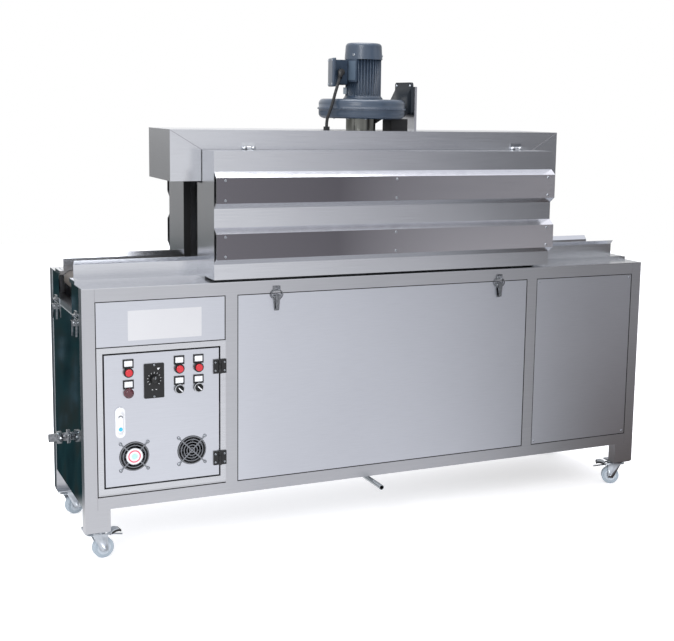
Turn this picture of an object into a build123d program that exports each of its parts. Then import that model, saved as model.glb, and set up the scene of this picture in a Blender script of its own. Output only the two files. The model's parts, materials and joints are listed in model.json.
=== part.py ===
from build123d import *
import math
import os

# Steam shrink machine on casters: a stainless base with a conveyor on top,
# a steam tunnel with a lift-up front door, an exhaust hood and a blower.
# Millimetres, +Z up. The origin is on the floor, in the middle of the space that the machine takes.

# Base frame
frame_length = 2000.0
frame_depth = 500.0
frame_height = 740.0
tube = 38.0
left_bay_width = 398.0
right_bay_width = 404.0
bottom_rail_height = 69.0
sheet = 2.0
panel_recess = 1.0
panel_gap = 3.0
ledge = 12.0

# End panels and the slot for the conveyor above them
cheek_height = 100.0
slot_width = 200.0

# Casters: plate, ball race, pressed fork, wheel and brake pedal
caster_height = 92.0
wheel_radius = 31.5
wheel_width = 24.0
wheel_round = 3.0
caster_trail = 22.0
top_plate_depth = 64.0
top_plate_thickness = 4.0
top_plate_round = 4.0
race_radius = 22.0
race_height = 5.0
fork_race_height = 4.0
race_gap = 0.5
kingpin_radius = 5.0
nut_radius = 8.0
fork_sheet = 3.0
fork_side_width = 30.0
fork_eye = 10.0
fork_eye_drop = 8.0
wheel_side_gap = 3.0
axle_radius = 4.0
running_clearance = 0.3
pedal_thickness = 5.0
pedal_start = 40.0
pedal_reach = 74.0
pedal_drop = 7.0
pedal_bow = 16.0
release_rod_radius = 2.5
release_rod_reach = 84.0
caster_yaws = (("front_left", 8.0), ("front_right", 150.0), ("rear_left", 20.0), ("rear_right", 160.0))

# Control cabinet in the left bay
cabinet_bottom = 115.0
cabinet_height = 446.0
cabinet_depth = 200.0
cabinet_rim = 17.0
control_door_gap = 5.0
control_door_fold = 15.0

# Controls, from the edges of the cabinet door
button_row_drop = 55.0
row_pitch = 63.0
first_column_inset = 71.0
last_column_inset = 65.0
column_pitch = 60.0
bezel_radius = 15.0
bezel_depth = 8.0
cap_radius = 11.0
cap_reach = 14.0
cap_round = 2.0
button_travel = 4.0
handle_width = 7.0
handle_reach = 10.0
handle_margin = 1.0
lamp_reach = 16.0
lamp_round = 4.0
legend_width = 32.0
legend_height = 27.0
legend_lift = 26.0
legend_thickness = 3.0
speed_plate_size = (61.0, 106.0)
speed_plate_round = 3.0
speed_plate_thickness = 4.0
speed_knob_radius = 13.0
speed_knob_reach = 17.0
speed_knob_lift = 5.0
speed_knob_taper = 4.0
speed_knob_skirt = 3.0
lock_place = (45.0, 196.0)
lock_size = (30.0, 94.0)
lock_thickness = 5.0
lock_lever_size = (16.0, 60.0)
lock_lever_thickness = 3.0
lock_round = 1.5
fan_inset = 86.5
fan_rise = 88.0
fan_size = 92.0
fan_depth = 25.0
fan_bore_radius = 43.0
fan_round = 6.0
fan_hub_radius = 18.0
fan_blade_count = 7
fan_blade_reach = 23.0
fan_blade_thickness = 2.5
fan_blade_pitch = 35.0
fan_strut_count = 3
fan_strut_width = 5.0
fan_strut_depth = 4.0
guard_ring_radius = 44.0
guard_ring_count = 5
guard_wire = 2.5
guard_bar = 4.0
guard_depth = 3.0
guard_lug_radius = 5.0
guard_lug_pitch = 82.5
guard_hole_radius = 38.0
upper_hinge_drop = 58.0
lower_hinge_rise = 54.0
door_hinge_height = 44.0
door_hinge_leaf = 18.0
door_pin_radius = 2.5
door_knuckle_radius = 5.0
knuckle_gap = 0.5

# Conveyor and its side guides
channel_width = 156.0
belt_thickness = 4.0
belt_rise = 10.0
belt_side_gap = 4.0
nose_radius = 20.0
nose_inset = 12.0
side_plate_height = 48.0
side_plate = 4.0
roller_pin = 8.0
bearing_thickness = 6.0
slider_thickness = 6.0
guide_inset = 12.0
guide_web_height = 39.0
bed_step_height = 10.0
bed_step_width = 76.0
guide_foot = 74.0
guide_lip_height = 14.0
guide_lip_flare = 12.0

# Steam tunnel
tunnel_length = 1200.0
channel_height = 301.0
door_lap = 97.0
tunnel_floor_gap = 8.0
hood_length = 1400.0
hood_depth = 250.0
hood_height = 158.0
door_clearance = 6.0
rib_depth = 25.0
rib_height = 112.0
rib_bevel = 17.0
rib_rises = (55.0, 225.0)
seal_width = 22.0
seal_thickness = 3.0
tunnel_hinge_places = (150.0, 1130.0)
tunnel_hinge_length = 44.0
tunnel_pin_radius = 3.0
tunnel_knuckle_radius = 5.0
tunnel_hinge_leaf = 16.0
leaf_clearance = 1.0
suction_slot = (700.0, 90.0)

# Blower
duct_radius = 50.0
duct_wall = 2.0
duct_height = 39.0
duct_offset = -7.0
volute_height = 64.0
volute_radius = 141.0
volute_growth = 16.0
volute_round = 16.0
seam_thickness = 6.0
seam_reach = 4.0
neck_radius = 68.0
neck_height = 12.0
motor_core_radius = 52.0
fin_reach = 8.0
fin_thickness = 2.6
fin_count = 36
fin_root = 2.0
motor_body_height = 119.0
cowl_height = 54.0
cowl_radius = 63.5
cowl_taper = 4.0
cowl_round = 12.0
terminal_azimuth = 167.0
terminal_box_rise = 75.0
terminal_box_size = (80.0, 82.0)
terminal_box_length = 39.0
terminal_stand_off = 2.0
terminal_neck_size = 36.0
terminal_cover_size = (88.0, 94.0)
terminal_cover = 12.0
terminal_round = 6.0
cover_edge_round = 4.0
fin_tip_gap = 0.05
pad_azimuth = 206.0
pad_size = (42.0, 74.0)
pad_stand_off = 1.5
gland_radius = 11.0
gland_length = 14.0
gland_offset = 22.0
elbow_radius = 8.0
elbow_length = 22.0
elbow_azimuth = 225.0
elbow_drop = 54.0
cable_first_run = 20.0
cable_bends = (
    (-18.0, -18.0, -35.0),
    (-28.0, -27.0, -54.0),
    (-36.0, -34.0, -74.0),
    (-44.0, -37.0, -96.0),
    (-52.0, -36.0, -119.0),
    (-59.0, -33.0, -140.0),
    (-59.0, -33.0, -160.0),
)
roof_gland_height = 12.0
cable_radius = 5.0
outlet_size = (128.0, 111.0)
outlet_offset = 190.0
outlet_rise = 14.0
outlet_flange_thickness = 8.0
outlet_flange_margin = 6.0
outlet_flange_round = 10.0
throat_start = 60.0
throat_offset = 158.0
throat_inset = 6.0
horn_top_drop = 20.0
horn_foot_rise = 12.0
outlet_plate_thickness = 8.0
outlet_plate_drop = 15.0
outlet_plate_margin = 12.0
block_length = 61.0
block_depth = 70.0
block_offset = 122.0

# Pipes
inlet_reach = 58.0
inlet_height = 236.0
inlet_radius = 20.0
inlet_pipe_radius = 13.0
inlet_bore_radius = 9.0
inlet_nut_place = 36.0
inlet_nut_length = 17.0
inlet_flange_radius = 22.0
inlet_flange_thickness = 5.0
drain_reach = 77.0
drain_place = 940.0
drain_radius = 8.5
drain_bore_radius = 6.5
drain_drop = 17.0
drain_elbow_inset = 10.0

# Toggle latches
latch_plate = 3.0
latch_width = 24.0
latch_length = 50.0
latch_tail_width = 14.0
latch_gap = 6.0
pivot_width = 20.0
pivot_height = 16.0
pivot_depth = 9.0
lever_width = 17.0
lever_tail_width = 9.0
lever_length = 46.0
lever_depth = 5.0
keeper_height = 16.0
hook_width = 18.0
hook_height = 6.0
bail_width = 40.0
bail_wire = 3.0
bail_lift = 5.0
panel_latch_places = (601.0, 1405.0)
end_latch_places = (92.0, 408.0)

# Places worked out from the sizes above
latch_reach = pivot_depth + lever_depth - panel_recess
span_x = frame_length + inlet_reach + latch_reach
span_y = frame_depth + drain_reach + rib_depth
left = inlet_reach - span_x / 2
right = left + frame_length
front = drain_reach - span_y / 2
rear = front + frame_depth
base = caster_height
top = base + frame_height
middle_x = (left + right) / 2
middle_y = (front + rear) / 2
deck_underside = top - sheet
rail_z = base + bottom_rail_height
end_panel_top = top - cheek_height
slot_front = middle_y - slot_width / 2
slot_rear = middle_y + slot_width / 2
inner_front = middle_y - channel_width / 2
inner_rear = middle_y + channel_width / 2
hood_front = middle_y - hood_depth / 2
hood_rear = middle_y + hood_depth / 2
hood_bottom = top + channel_height
hood_top = hood_bottom + hood_height
tunnel_left = middle_x - tunnel_length / 2
tunnel_right = middle_x + tunnel_length / 2
door_bottom = top + tunnel_floor_gap
tunnel_top = hood_bottom + door_lap
first_mullion = left + tube + left_bay_width
second_mullion = right - tube - right_bay_width - tube
bay_bottom = rail_z + tube
bay_top = deck_underside - tube
bays = ((left + tube, first_mullion), (first_mullion + tube, second_mullion), (second_mullion + tube, right - tube))
cabinet_low = base + cabinet_bottom
cabinet_high = cabinet_low + cabinet_height
upper_panel_bottom = cabinet_high + panel_gap
volute_z = hood_top + duct_height
volute_top = volute_z + volute_height
motor_z = volute_top + neck_height
cowl_z = motor_z + motor_body_height

os.makedirs("parts", exist_ok=True)


def at_x(x):
    """Plane across the machine at x, drawn with y to the right and z up, facing +X."""
    return Plane.YZ.offset(x)


def at_y(y):
    """Plane along the machine at y, drawn with x to the right and z up, facing the front."""
    return Plane.XZ.offset(-y)


def at_z(z):
    """Level plane at height z, facing up."""
    return Plane.XY.offset(z)


def area(low_u, high_u, low_v, high_v, mode=Mode.ADD):
    """Rectangle between two corners, inside a sketch."""
    with Locations(((low_u + high_u) / 2, (low_v + high_v) / 2)):
        Rectangle(high_u - low_u, high_v - low_v, mode=mode)


def finish(piece, label):
    """Name a piece and write it as its own file."""
    piece.part.label = label
    export_step(piece.part, "parts/" + label + ".step")


def ladder_frame(face_y, label):
    """Front or rear frame: two posts, two rails and two mullions, with ledges behind the panels."""
    toward_middle = 1 if face_y < middle_y else -1
    back_y = face_y + toward_middle * tube
    ledge_near = face_y + toward_middle * (panel_recess + sheet)
    ledge_far = ledge_near + toward_middle * sheet
    with BuildPart() as frame:
        with BuildSketch(at_y(max(face_y, back_y))):
            area(left, left + tube, base, deck_underside)
            area(right - tube, right, base, deck_underside)
            area(left, right, bay_top, deck_underside)
            area(left, right, rail_z, bay_bottom)
            area(first_mullion, first_mullion + tube, rail_z, deck_underside)
            area(second_mullion, second_mullion + tube, rail_z, deck_underside)
            area(left + tube, left + 2 * tube, base, rail_z)
            area(right - 2 * tube, right - tube, base, rail_z)
        extrude(amount=tube)
        with BuildSketch(at_y(max(ledge_near, ledge_far))):
            area(left + tube, right - tube, bay_bottom, bay_top)
            for low_x, high_x in bays:
                area(low_x + ledge, high_x - ledge, bay_bottom + ledge, bay_top - ledge, mode=Mode.SUBTRACT)
            area(first_mullion, first_mullion + tube, bay_bottom, bay_top, mode=Mode.SUBTRACT)
            area(second_mullion, second_mullion + tube, bay_bottom, bay_top, mode=Mode.SUBTRACT)
            if face_y < middle_y:
                area(left + tube, first_mullion, bay_bottom, upper_panel_bottom, mode=Mode.SUBTRACT)
        extrude(amount=sheet)
    finish(frame, label)


ladder_frame(front, "front_frame")
ladder_frame(rear, "rear_frame")

# Cross rails join the two frames at each end, behind the end panels
cross_rail_heights = (rail_z, end_panel_top - tube / 2)
with BuildPart() as cross_rails:
    for inner_x in (left + panel_recess + sheet, right - tube):
        with BuildSketch(at_x(inner_x)):
            for low_z in cross_rail_heights:
                area(front + tube, rear - tube, low_z, low_z + tube)
        extrude(amount=tube - panel_recess - sheet)
finish(cross_rails, "cross_rails")

# End panels: a lift-off panel below and two cheek plates beside the conveyor slot above
with BuildPart() as end_panels:
    for outer_x in (left + panel_recess, right - panel_recess - sheet):
        with BuildSketch(at_x(outer_x)):
            area(front + tube, rear - tube, rail_z, end_panel_top)
            area(front + tube, slot_front, end_panel_top + panel_gap, deck_underside)
            area(slot_rear, rear - tube, end_panel_top + panel_gap, deck_underside)
        extrude(amount=sheet)
finish(end_panels, "end_panels")

# Deck: two plates on the frames, with a raised step along the conveyor outside the tunnel
with BuildPart() as deck:
    with BuildSketch(at_z(deck_underside)):
        area(left, right, front, inner_front)
        area(left, right, inner_rear, rear)
    extrude(amount=sheet)
    with BuildSketch(at_z(top)):
        for low_x, high_x in ((left, tunnel_left), (tunnel_right, right)):
            area(low_x, high_x, inner_front - bed_step_width, inner_front)
            area(low_x, high_x, inner_rear, inner_rear + bed_step_width)
    extrude(amount=bed_step_height)
finish(deck, "deck_plates")

# Conveyor bed: side plates under the deck plates' inner edges, a slider plate inside the belt,
# and bearing plates at both ends for the pins of the nose rollers
belt_top = top + belt_rise
belt_center_z = belt_top - belt_thickness - nose_radius
belt_left = left + nose_inset + nose_radius + belt_thickness
belt_right = right - nose_inset - nose_radius - belt_thickness
with BuildPart() as bed:
    with BuildSketch(at_y(inner_front)):
        area(belt_left + nose_radius, belt_right - nose_radius, deck_underside - side_plate_height, deck_underside)
    extrude(amount=side_plate)
    with BuildSketch(at_y(inner_rear + side_plate)):
        area(belt_left + nose_radius, belt_right - nose_radius, deck_underside - side_plate_height, deck_underside)
    extrude(amount=side_plate)
    with BuildSketch(at_y(inner_rear)):
        area(belt_left + nose_radius, belt_right - nose_radius,
             belt_top - belt_thickness - slider_thickness, belt_top - belt_thickness)
    extrude(amount=channel_width)
    for roller_x in (belt_left, belt_right):
        for bearing_y in (slot_front + bearing_thickness, slot_rear):
            with BuildSketch(at_y(bearing_y)):
                area(roller_x - nose_radius, roller_x + nose_radius, belt_center_z - nose_radius, deck_underside)
                with Locations((roller_x, belt_center_z)):
                    Circle(roller_pin, mode=Mode.SUBTRACT)
            extrude(amount=bearing_thickness)
finish(bed, "conveyor_bed")

# Belt: one closed loop over two nose rollers
belt_width = channel_width - 2 * belt_side_gap
with BuildPart() as belt:
    with BuildSketch(at_y(middle_y + belt_width / 2)):
        with Locations(((belt_left + belt_right) / 2, belt_center_z)):
            SlotCenterToCenter(belt_right - belt_left, 2 * (nose_radius + belt_thickness))
            SlotCenterToCenter(belt_right - belt_left, 2 * nose_radius, mode=Mode.SUBTRACT)
    extrude(amount=belt_width)
finish(belt, "conveyor_belt")

# Nose rollers carry the belt between the side plates
with BuildPart() as rollers:
    for roller_x in (belt_left, belt_right):
        with BuildSketch(at_y(middle_y + belt_width / 2)):
            with Locations((roller_x, belt_center_z)):
                Circle(nose_radius)
        extrude(amount=belt_width)
        with BuildSketch(at_y(slot_rear)):
            with Locations((roller_x, belt_center_z)):
                Circle(roller_pin)
        extrude(amount=slot_width)
finish(rollers, "nose_rollers")

# Side guides: folded sheet with a foot, an upright web and a lip that flares outwards
foot_z = top + bed_step_height
guide_stretches = ((left + guide_inset, tunnel_left), (tunnel_right, right - guide_inset))
web_top = foot_z + guide_web_height
lip_top = web_top + guide_lip_height
with BuildPart() as guides:
    for web_y, outward in ((inner_front, -1), (inner_rear, 1)):
        for low_x, high_x in guide_stretches:
            with BuildSketch(at_x(low_x)):
                with BuildLine():
                    Polyline(
                        (web_y + outward * guide_foot, foot_z),
                        (web_y, foot_z),
                        (web_y, web_top),
                        (web_y + outward * guide_lip_flare, lip_top),
                        (web_y + outward * (guide_lip_flare + sheet), lip_top),
                        (web_y + outward * sheet, web_top),
                        (web_y + outward * sheet, foot_z + sheet),
                        (web_y + outward * guide_foot, foot_z + sheet),
                        close=True,
                    )
                make_face()
            extrude(amount=high_x - low_x)
finish(guides, "side_guides")


def wall_section(outer_y, step_y, inner_y, step_z, wall_bottom):
    """Closed line of the tunnel wall's section: thick below the hood, thinner beside it."""
    Polyline(
        (outer_y, wall_bottom),
        (inner_y, wall_bottom),
        (inner_y, step_z),
        (step_y, step_z),
        (step_y, tunnel_top),
        (outer_y, tunnel_top),
        close=True,
    )


def tunnel_wall(outer_y, step_y, inner_y, step_z, wall_bottom, label):
    """One side wall of the tunnel as a folded pan, open towards the channel."""
    inward = 1 if inner_y > outer_y else -1
    skin = inward * sheet
    with BuildPart() as wall:
        with BuildSketch(at_x(tunnel_left)):
            with BuildLine():
                wall_section(outer_y, step_y, inner_y, step_z, wall_bottom)
            make_face()
        extrude(amount=tunnel_length)
        with BuildSketch(at_x(tunnel_left + sheet)):
            with BuildLine():
                Polyline(
                    (outer_y + skin, wall_bottom + sheet),
                    (inner_y, wall_bottom + sheet),
                    (inner_y, step_z - sheet),
                    (step_y, step_z - sheet),
                    (step_y, tunnel_top - sheet),
                    (outer_y + skin, tunnel_top - sheet),
                    close=True,
                )
            make_face()
        extrude(amount=tunnel_length - 2 * sheet, mode=Mode.SUBTRACT)
    finish(wall, label)


def tunnel_liner(step_y, inner_y, step_z, wall_bottom, inward, label):
    """Inner sheets that close the wall's pan towards the channel."""
    with BuildPart() as liner:
        with BuildSketch(at_x(tunnel_left + sheet)):
            low_y, high_y = sorted((inner_y - inward * sheet, inner_y))
            area(low_y, high_y, wall_bottom + sheet, step_z - sheet)
            low_y, high_y = sorted((step_y - inward * sheet, step_y))
            area(low_y, high_y, step_z - sheet, tunnel_top - sheet)
        extrude(amount=tunnel_length - 2 * sheet)
    finish(liner, label)


def wall_ribs(outer_y, outward, label):
    """Two raised strips along a wall, with bevelled upper and lower edges."""
    with BuildPart() as ribs:
        with BuildSketch(at_x(tunnel_left)):
            for rib_rise in rib_rises:
                low_z = top + rib_rise
                high_z = low_z + rib_height
                with BuildLine():
                    Polyline(
                        (outer_y, low_z),
                        (outer_y, high_z),
                        (outer_y + outward * rib_depth, high_z - rib_bevel),
                        (outer_y + outward * rib_depth, low_z + rib_bevel),
                        close=True,
                    )
                make_face()
        extrude(amount=tunnel_length)
        with BuildSketch(at_x(tunnel_left)):
            for rib_rise in rib_rises:
                low_z = top + rib_rise + 2 * sheet
                high_z = top + rib_rise + rib_height - 2 * sheet
                rib_y = outer_y + outward * (rib_depth - sheet)
                with BuildLine():
                    Polyline(
                        (outer_y, low_z),
                        (outer_y, high_z),
                        (rib_y, high_z - rib_bevel),
                        (rib_y, low_z + rib_bevel),
                        close=True,
                    )
                make_face()
        extrude(amount=tunnel_length, mode=Mode.SUBTRACT)
    finish(ribs, label)


def entry_seals(inner_y, inward, wall_bottom, label):
    """Dark sealing strips at both ends of a wall's inner face."""
    low_y, high_y = sorted((inner_y, inner_y + inward * seal_thickness))
    with BuildPart() as seals:
        with BuildSketch(at_y(high_y)):
            area(tunnel_left, tunnel_left + seal_width, wall_bottom, hood_bottom - door_clearance)
            area(tunnel_right - seal_width, tunnel_right, wall_bottom, hood_bottom - door_clearance)
        extrude(amount=high_y - low_y)
    finish(seals, label)


# The front wall is the lift-up door. It clears the hood so that it can swing.
door_step_y = hood_front - door_clearance
door_step_z = hood_bottom - door_clearance
tunnel_wall(front, door_step_y, inner_front, door_step_z, door_bottom, "tunnel_door")
tunnel_liner(door_step_y, inner_front, door_step_z, door_bottom, 1, "tunnel_door_liner")
wall_ribs(front, -1, "tunnel_door_ribs")
entry_seals(inner_front, 1, door_bottom, "front_entry_seals")

# The rear wall is fixed, mirrors the door and carries the hood
tunnel_wall(rear, hood_rear, inner_rear, hood_bottom, top, "rear_wall")
tunnel_liner(hood_rear, inner_rear, hood_bottom, top, -1, "rear_wall_liner")
wall_ribs(rear, 1, "rear_wall_ribs")
entry_seals(inner_rear, -1, door_bottom, "rear_entry_seals")

# Exhaust hood: a sheet box with a suction slot below and a round hole for the duct above
hood_left = middle_x - hood_length / 2
hood_right = middle_x + hood_length / 2
with BuildPart() as hood:
    with BuildSketch(at_z(hood_bottom)):
        area(hood_left, hood_right, hood_front, hood_rear)
    extrude(amount=hood_top - hood_bottom)
    with BuildSketch(at_z(hood_bottom + sheet)):
        area(hood_left + sheet, hood_right - sheet, hood_front + sheet, hood_rear - sheet)
    extrude(amount=hood_top - hood_bottom - 2 * sheet, mode=Mode.SUBTRACT)
    with BuildSketch(at_z(hood_bottom)):
        with Locations((middle_x, middle_y)):
            Rectangle(*suction_slot)
    extrude(amount=sheet, mode=Mode.SUBTRACT)
    with BuildSketch(at_z(hood_top - sheet)):
        with Locations((middle_x + duct_offset, middle_y)):
            Circle(duct_radius - duct_wall)
    extrude(amount=sheet, mode=Mode.SUBTRACT)
finish(hood, "hood")

# Door hinges: fixed knuckles and pin on the hood, turning knuckle on the door
pin_y = hood_front - door_clearance
pin_z = tunnel_top + door_clearance
knuckle = tunnel_hinge_length / 3
with BuildPart() as hood_hinges:
    for place in tunnel_hinge_places:
        low_x = tunnel_left + place - tunnel_hinge_length / 2
        for outer in (0, 2):
            with BuildSketch(at_x(low_x + outer * knuckle)):
                with Locations((pin_y, pin_z)):
                    Circle(tunnel_knuckle_radius)
                area(pin_y, hood_front, pin_z - tunnel_knuckle_radius, pin_z + tunnel_knuckle_radius)
            extrude(amount=knuckle)
        with BuildSketch(at_x(low_x)):
            area(hood_front - sheet, hood_front, pin_z + tunnel_knuckle_radius + knuckle_gap,
                 pin_z + tunnel_hinge_leaf)
            with Locations((pin_y, pin_z)):
                Circle(tunnel_pin_radius)
        extrude(amount=tunnel_hinge_length)
finish(hood_hinges, "hood_hinges")

with BuildPart() as lift_hinges:
    for place in tunnel_hinge_places:
        low_x = tunnel_left + place - tunnel_hinge_length / 2 + knuckle + knuckle_gap
        with BuildSketch(at_x(low_x)):
            with Locations((pin_y, pin_z)):
                Circle(tunnel_knuckle_radius - running_clearance)
            area(pin_y - tunnel_knuckle_radius, pin_y, tunnel_top, pin_z)
            with Locations((pin_y, pin_z)):
                Circle(tunnel_pin_radius + running_clearance, mode=Mode.SUBTRACT)
            area(pin_y - tunnel_hinge_leaf, pin_y - tunnel_pin_radius - leaf_clearance, tunnel_top,
                 tunnel_top + sheet)
        extrude(amount=knuckle - 2 * knuckle_gap)
finish(lift_hinges, "tunnel_door_hinges")

# Flat panels in the bays, set just behind the frames' faces
with BuildPart() as bay_panels:
    for bay, low_z in zip(bays, (upper_panel_bottom, bay_bottom + panel_gap, bay_bottom + panel_gap)):
        with BuildSketch(at_y(front + panel_recess + sheet)):
            area(bay[0] + panel_gap, bay[1] - panel_gap, low_z, bay_top - panel_gap)
        extrude(amount=sheet)
        with BuildSketch(at_y(rear - panel_recess)):
            area(bay[0] + panel_gap, bay[1] - panel_gap, bay_bottom + panel_gap, bay_top - panel_gap)
        extrude(amount=sheet)
finish(bay_panels, "bay_panels")

# Bottom sheet between the lower rails
with BuildPart() as bottom_sheet:
    with BuildSketch(at_z(rail_z)):
        area(left + tube, right - tube, front + tube, rear - tube)
    extrude(amount=sheet)
finish(bottom_sheet, "bottom_sheet")

# Control cabinet: a folded box with a rim around its door
cabinet_left = left + tube + panel_gap
cabinet_right = first_mullion
opening_left = cabinet_left + cabinet_rim
opening_right = cabinet_right - cabinet_rim
opening_low = cabinet_low + cabinet_rim
opening_high = cabinet_high - cabinet_rim
with BuildPart() as cabinet:
    with BuildSketch(at_y(front + cabinet_depth)):
        area(cabinet_left, cabinet_right, cabinet_low, cabinet_high)
    extrude(amount=cabinet_depth)
    with BuildSketch(at_y(front + cabinet_depth - sheet)):
        area(cabinet_left + sheet, cabinet_right - sheet, cabinet_low + sheet, cabinet_high - sheet)
    extrude(amount=cabinet_depth - 2 * sheet, mode=Mode.SUBTRACT)
    with BuildSketch(at_y(front + sheet)):
        area(opening_left, opening_right, opening_low, opening_high)
    extrude(amount=sheet, mode=Mode.SUBTRACT)
finish(cabinet, "control_cabinet")

# Cabinet door: a shallow pan that closes the rim's opening, flush with the frame
door_left = opening_left + control_door_gap
door_right = opening_right - control_door_gap
door_low = opening_low + control_door_gap
door_high = opening_high - control_door_gap
fan_places = ((door_left + fan_inset, door_low + fan_rise), (door_right - fan_inset, door_low + fan_rise))
with BuildPart() as control_door:
    with BuildSketch(at_y(front + control_door_fold)):
        area(door_left, door_right, door_low, door_high)
    extrude(amount=control_door_fold)
    with BuildSketch(at_y(front + control_door_fold)):
        area(door_left + sheet, door_right - sheet, door_low + sheet, door_high - sheet)
    extrude(amount=control_door_fold - sheet, mode=Mode.SUBTRACT)
    with BuildSketch(at_y(front + sheet)):
        for place in fan_places:
            with Locations(place):
                Circle(guard_hole_radius)
    extrude(amount=sheet, mode=Mode.SUBTRACT)
finish(control_door, "control_door")

# Cabinet hinges: black cast leaves with a pin in front of the gap
door_pin_x = (door_right + opening_right) / 2
door_pin_y = front - door_knuckle_radius
door_knuckle = door_hinge_height / 3
leaf_gap = door_knuckle_radius + knuckle_gap
door_hinge_heights = (door_low + lower_hinge_rise, door_high - upper_hinge_drop)
with BuildPart() as cabinet_hinges:
    for height in door_hinge_heights:
        low_z = height - door_hinge_height / 2
        for outer in (0, 2):
            with BuildSketch(at_z(low_z + outer * door_knuckle)):
                with Locations((door_pin_x, door_pin_y)):
                    Circle(door_knuckle_radius)
                area(door_pin_x, opening_right + door_hinge_leaf, door_pin_y, front)
            extrude(amount=door_knuckle)
        with BuildSketch(at_z(low_z)):
            with Locations((door_pin_x, door_pin_y)):
                Circle(door_pin_radius)
            area(door_pin_x + leaf_gap, opening_right + door_hinge_leaf, door_pin_y, front)
        extrude(amount=door_hinge_height)
finish(cabinet_hinges, "cabinet_hinges")

with BuildPart() as door_hinges:
    for height in door_hinge_heights:
        low_z = height - door_hinge_height / 2
        with BuildSketch(at_z(low_z + door_knuckle + knuckle_gap)):
            with Locations((door_pin_x, door_pin_y)):
                Circle(door_knuckle_radius - running_clearance)
            area(door_right - door_hinge_leaf, door_pin_x, door_pin_y, front)
            with Locations((door_pin_x, door_pin_y)):
                Circle(door_pin_radius + running_clearance, mode=Mode.SUBTRACT)
        extrude(amount=door_knuckle - 2 * knuckle_gap)
        with BuildSketch(at_z(low_z)):
            area(door_right - door_hinge_leaf, door_pin_x - leaf_gap, door_pin_y, front)
        extrude(amount=door_hinge_height)
finish(door_hinges, "control_door_hinges")

# Bezels of the push buttons and selectors, and the pilot lamp
first_column = door_left + first_column_inset
third_column = door_right - last_column_inset
second_column = third_column - column_pitch
button_columns = (first_column, second_column, third_column)
selector_columns = (second_column, third_column)
button_row = door_high - button_row_drop
selector_row = button_row - row_pitch
with BuildPart() as bezels:
    for height, columns in ((button_row, button_columns), (selector_row, selector_columns)):
        for column in columns:
            with BuildSketch(at_y(front)):
                with Locations((column, height)):
                    Circle(bezel_radius)
                    Circle(cap_radius + running_clearance, mode=Mode.SUBTRACT)
            extrude(amount=bezel_depth)
finish(bezels, "button_bezels")

for number, column in enumerate(button_columns, start=1):
    with BuildPart() as cap:
        with BuildSketch(at_y(front - running_clearance - button_travel)):
            with Locations((column, button_row)):
                Circle(cap_radius)
        extrude(amount=cap_reach - button_travel)
        fillet(cap.faces().sort_by(Axis.Y)[0].edges(), radius=cap_round)
    finish(cap, "red_button_" + str(number))

for number, column in enumerate(selector_columns, start=1):
    with BuildPart() as selector:
        with BuildSketch(at_y(front - running_clearance)):
            with Locations((column, selector_row)):
                Circle(cap_radius)
        extrude(amount=bezel_depth)
        with BuildSketch(at_y(front - bezel_depth)):
            with Locations(Location((column, selector_row), -45)):
                SlotOverall(2 * (cap_radius - handle_margin), handle_width)
        extrude(amount=handle_reach)
    finish(selector, "selector_" + str(number))

with BuildPart() as lamp:
    with BuildSketch(at_y(front)):
        with Locations((first_column, selector_row)):
            Circle(bezel_radius)
    extrude(amount=bezel_depth)
    with BuildSketch(at_y(front - bezel_depth)):
        with Locations((first_column, selector_row)):
            Circle(cap_radius)
    extrude(amount=lamp_reach - bezel_depth)
    fillet(lamp.faces().sort_by(Axis.Y)[0].edges(), radius=lamp_round)
finish(lamp, "pilot_lamp")

# Legend plates above each control, and the faceplate of the speed control between the columns
speed_x = (first_column + second_column) / 2
speed_z = (button_row + selector_row) / 2
with BuildPart() as plates:
    with BuildSketch(at_y(front)):
        for height in (button_row, selector_row):
            for column in button_columns:
                with Locations((column, height + legend_lift)):
                    Rectangle(legend_width, legend_height)
        for height in (button_row, selector_row):
            for column in button_columns:
                with Locations((column, height)):
                    Circle(bezel_radius, mode=Mode.SUBTRACT)
    extrude(amount=legend_thickness)
    with BuildSketch(at_y(front)):
        with Locations((speed_x, speed_z)):
            RectangleRounded(*speed_plate_size, speed_plate_round)
    extrude(amount=speed_plate_thickness)
finish(plates, "control_plates")

# Speed knob on its faceplate
with BuildPart() as speed_knob:
    with BuildSketch(at_y(front - speed_plate_thickness - running_clearance)):
        with Locations((speed_x, speed_z + speed_knob_lift)):
            Circle(speed_knob_radius)
    extrude(amount=speed_knob_skirt)
    with BuildSketch(at_y(front - speed_plate_thickness - running_clearance - speed_knob_skirt)):
        with Locations((speed_x, speed_z + speed_knob_lift)):
            Circle(speed_knob_radius)
    extrude(amount=speed_knob_reach - speed_knob_skirt, taper=speed_knob_taper)
finish(speed_knob, "speed_knob")

# Oval panel lock: a long plate with a swing lever lying in it
with BuildPart() as lock:
    for (width, length), depth, seat_y in (
        (lock_size, lock_thickness, front),
        (lock_lever_size, lock_lever_thickness, front - lock_thickness),
    ):
        with BuildSketch(at_y(seat_y)):
            with Locations(Location((door_left + lock_place[0], door_low + lock_place[1]), 90)):
                SlotOverall(length, width)
        extrude(amount=depth)
        fillet(lock.faces().sort_by(Axis.Y)[0].edges(), radius=lock_round)
finish(lock, "panel_lock")

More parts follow.
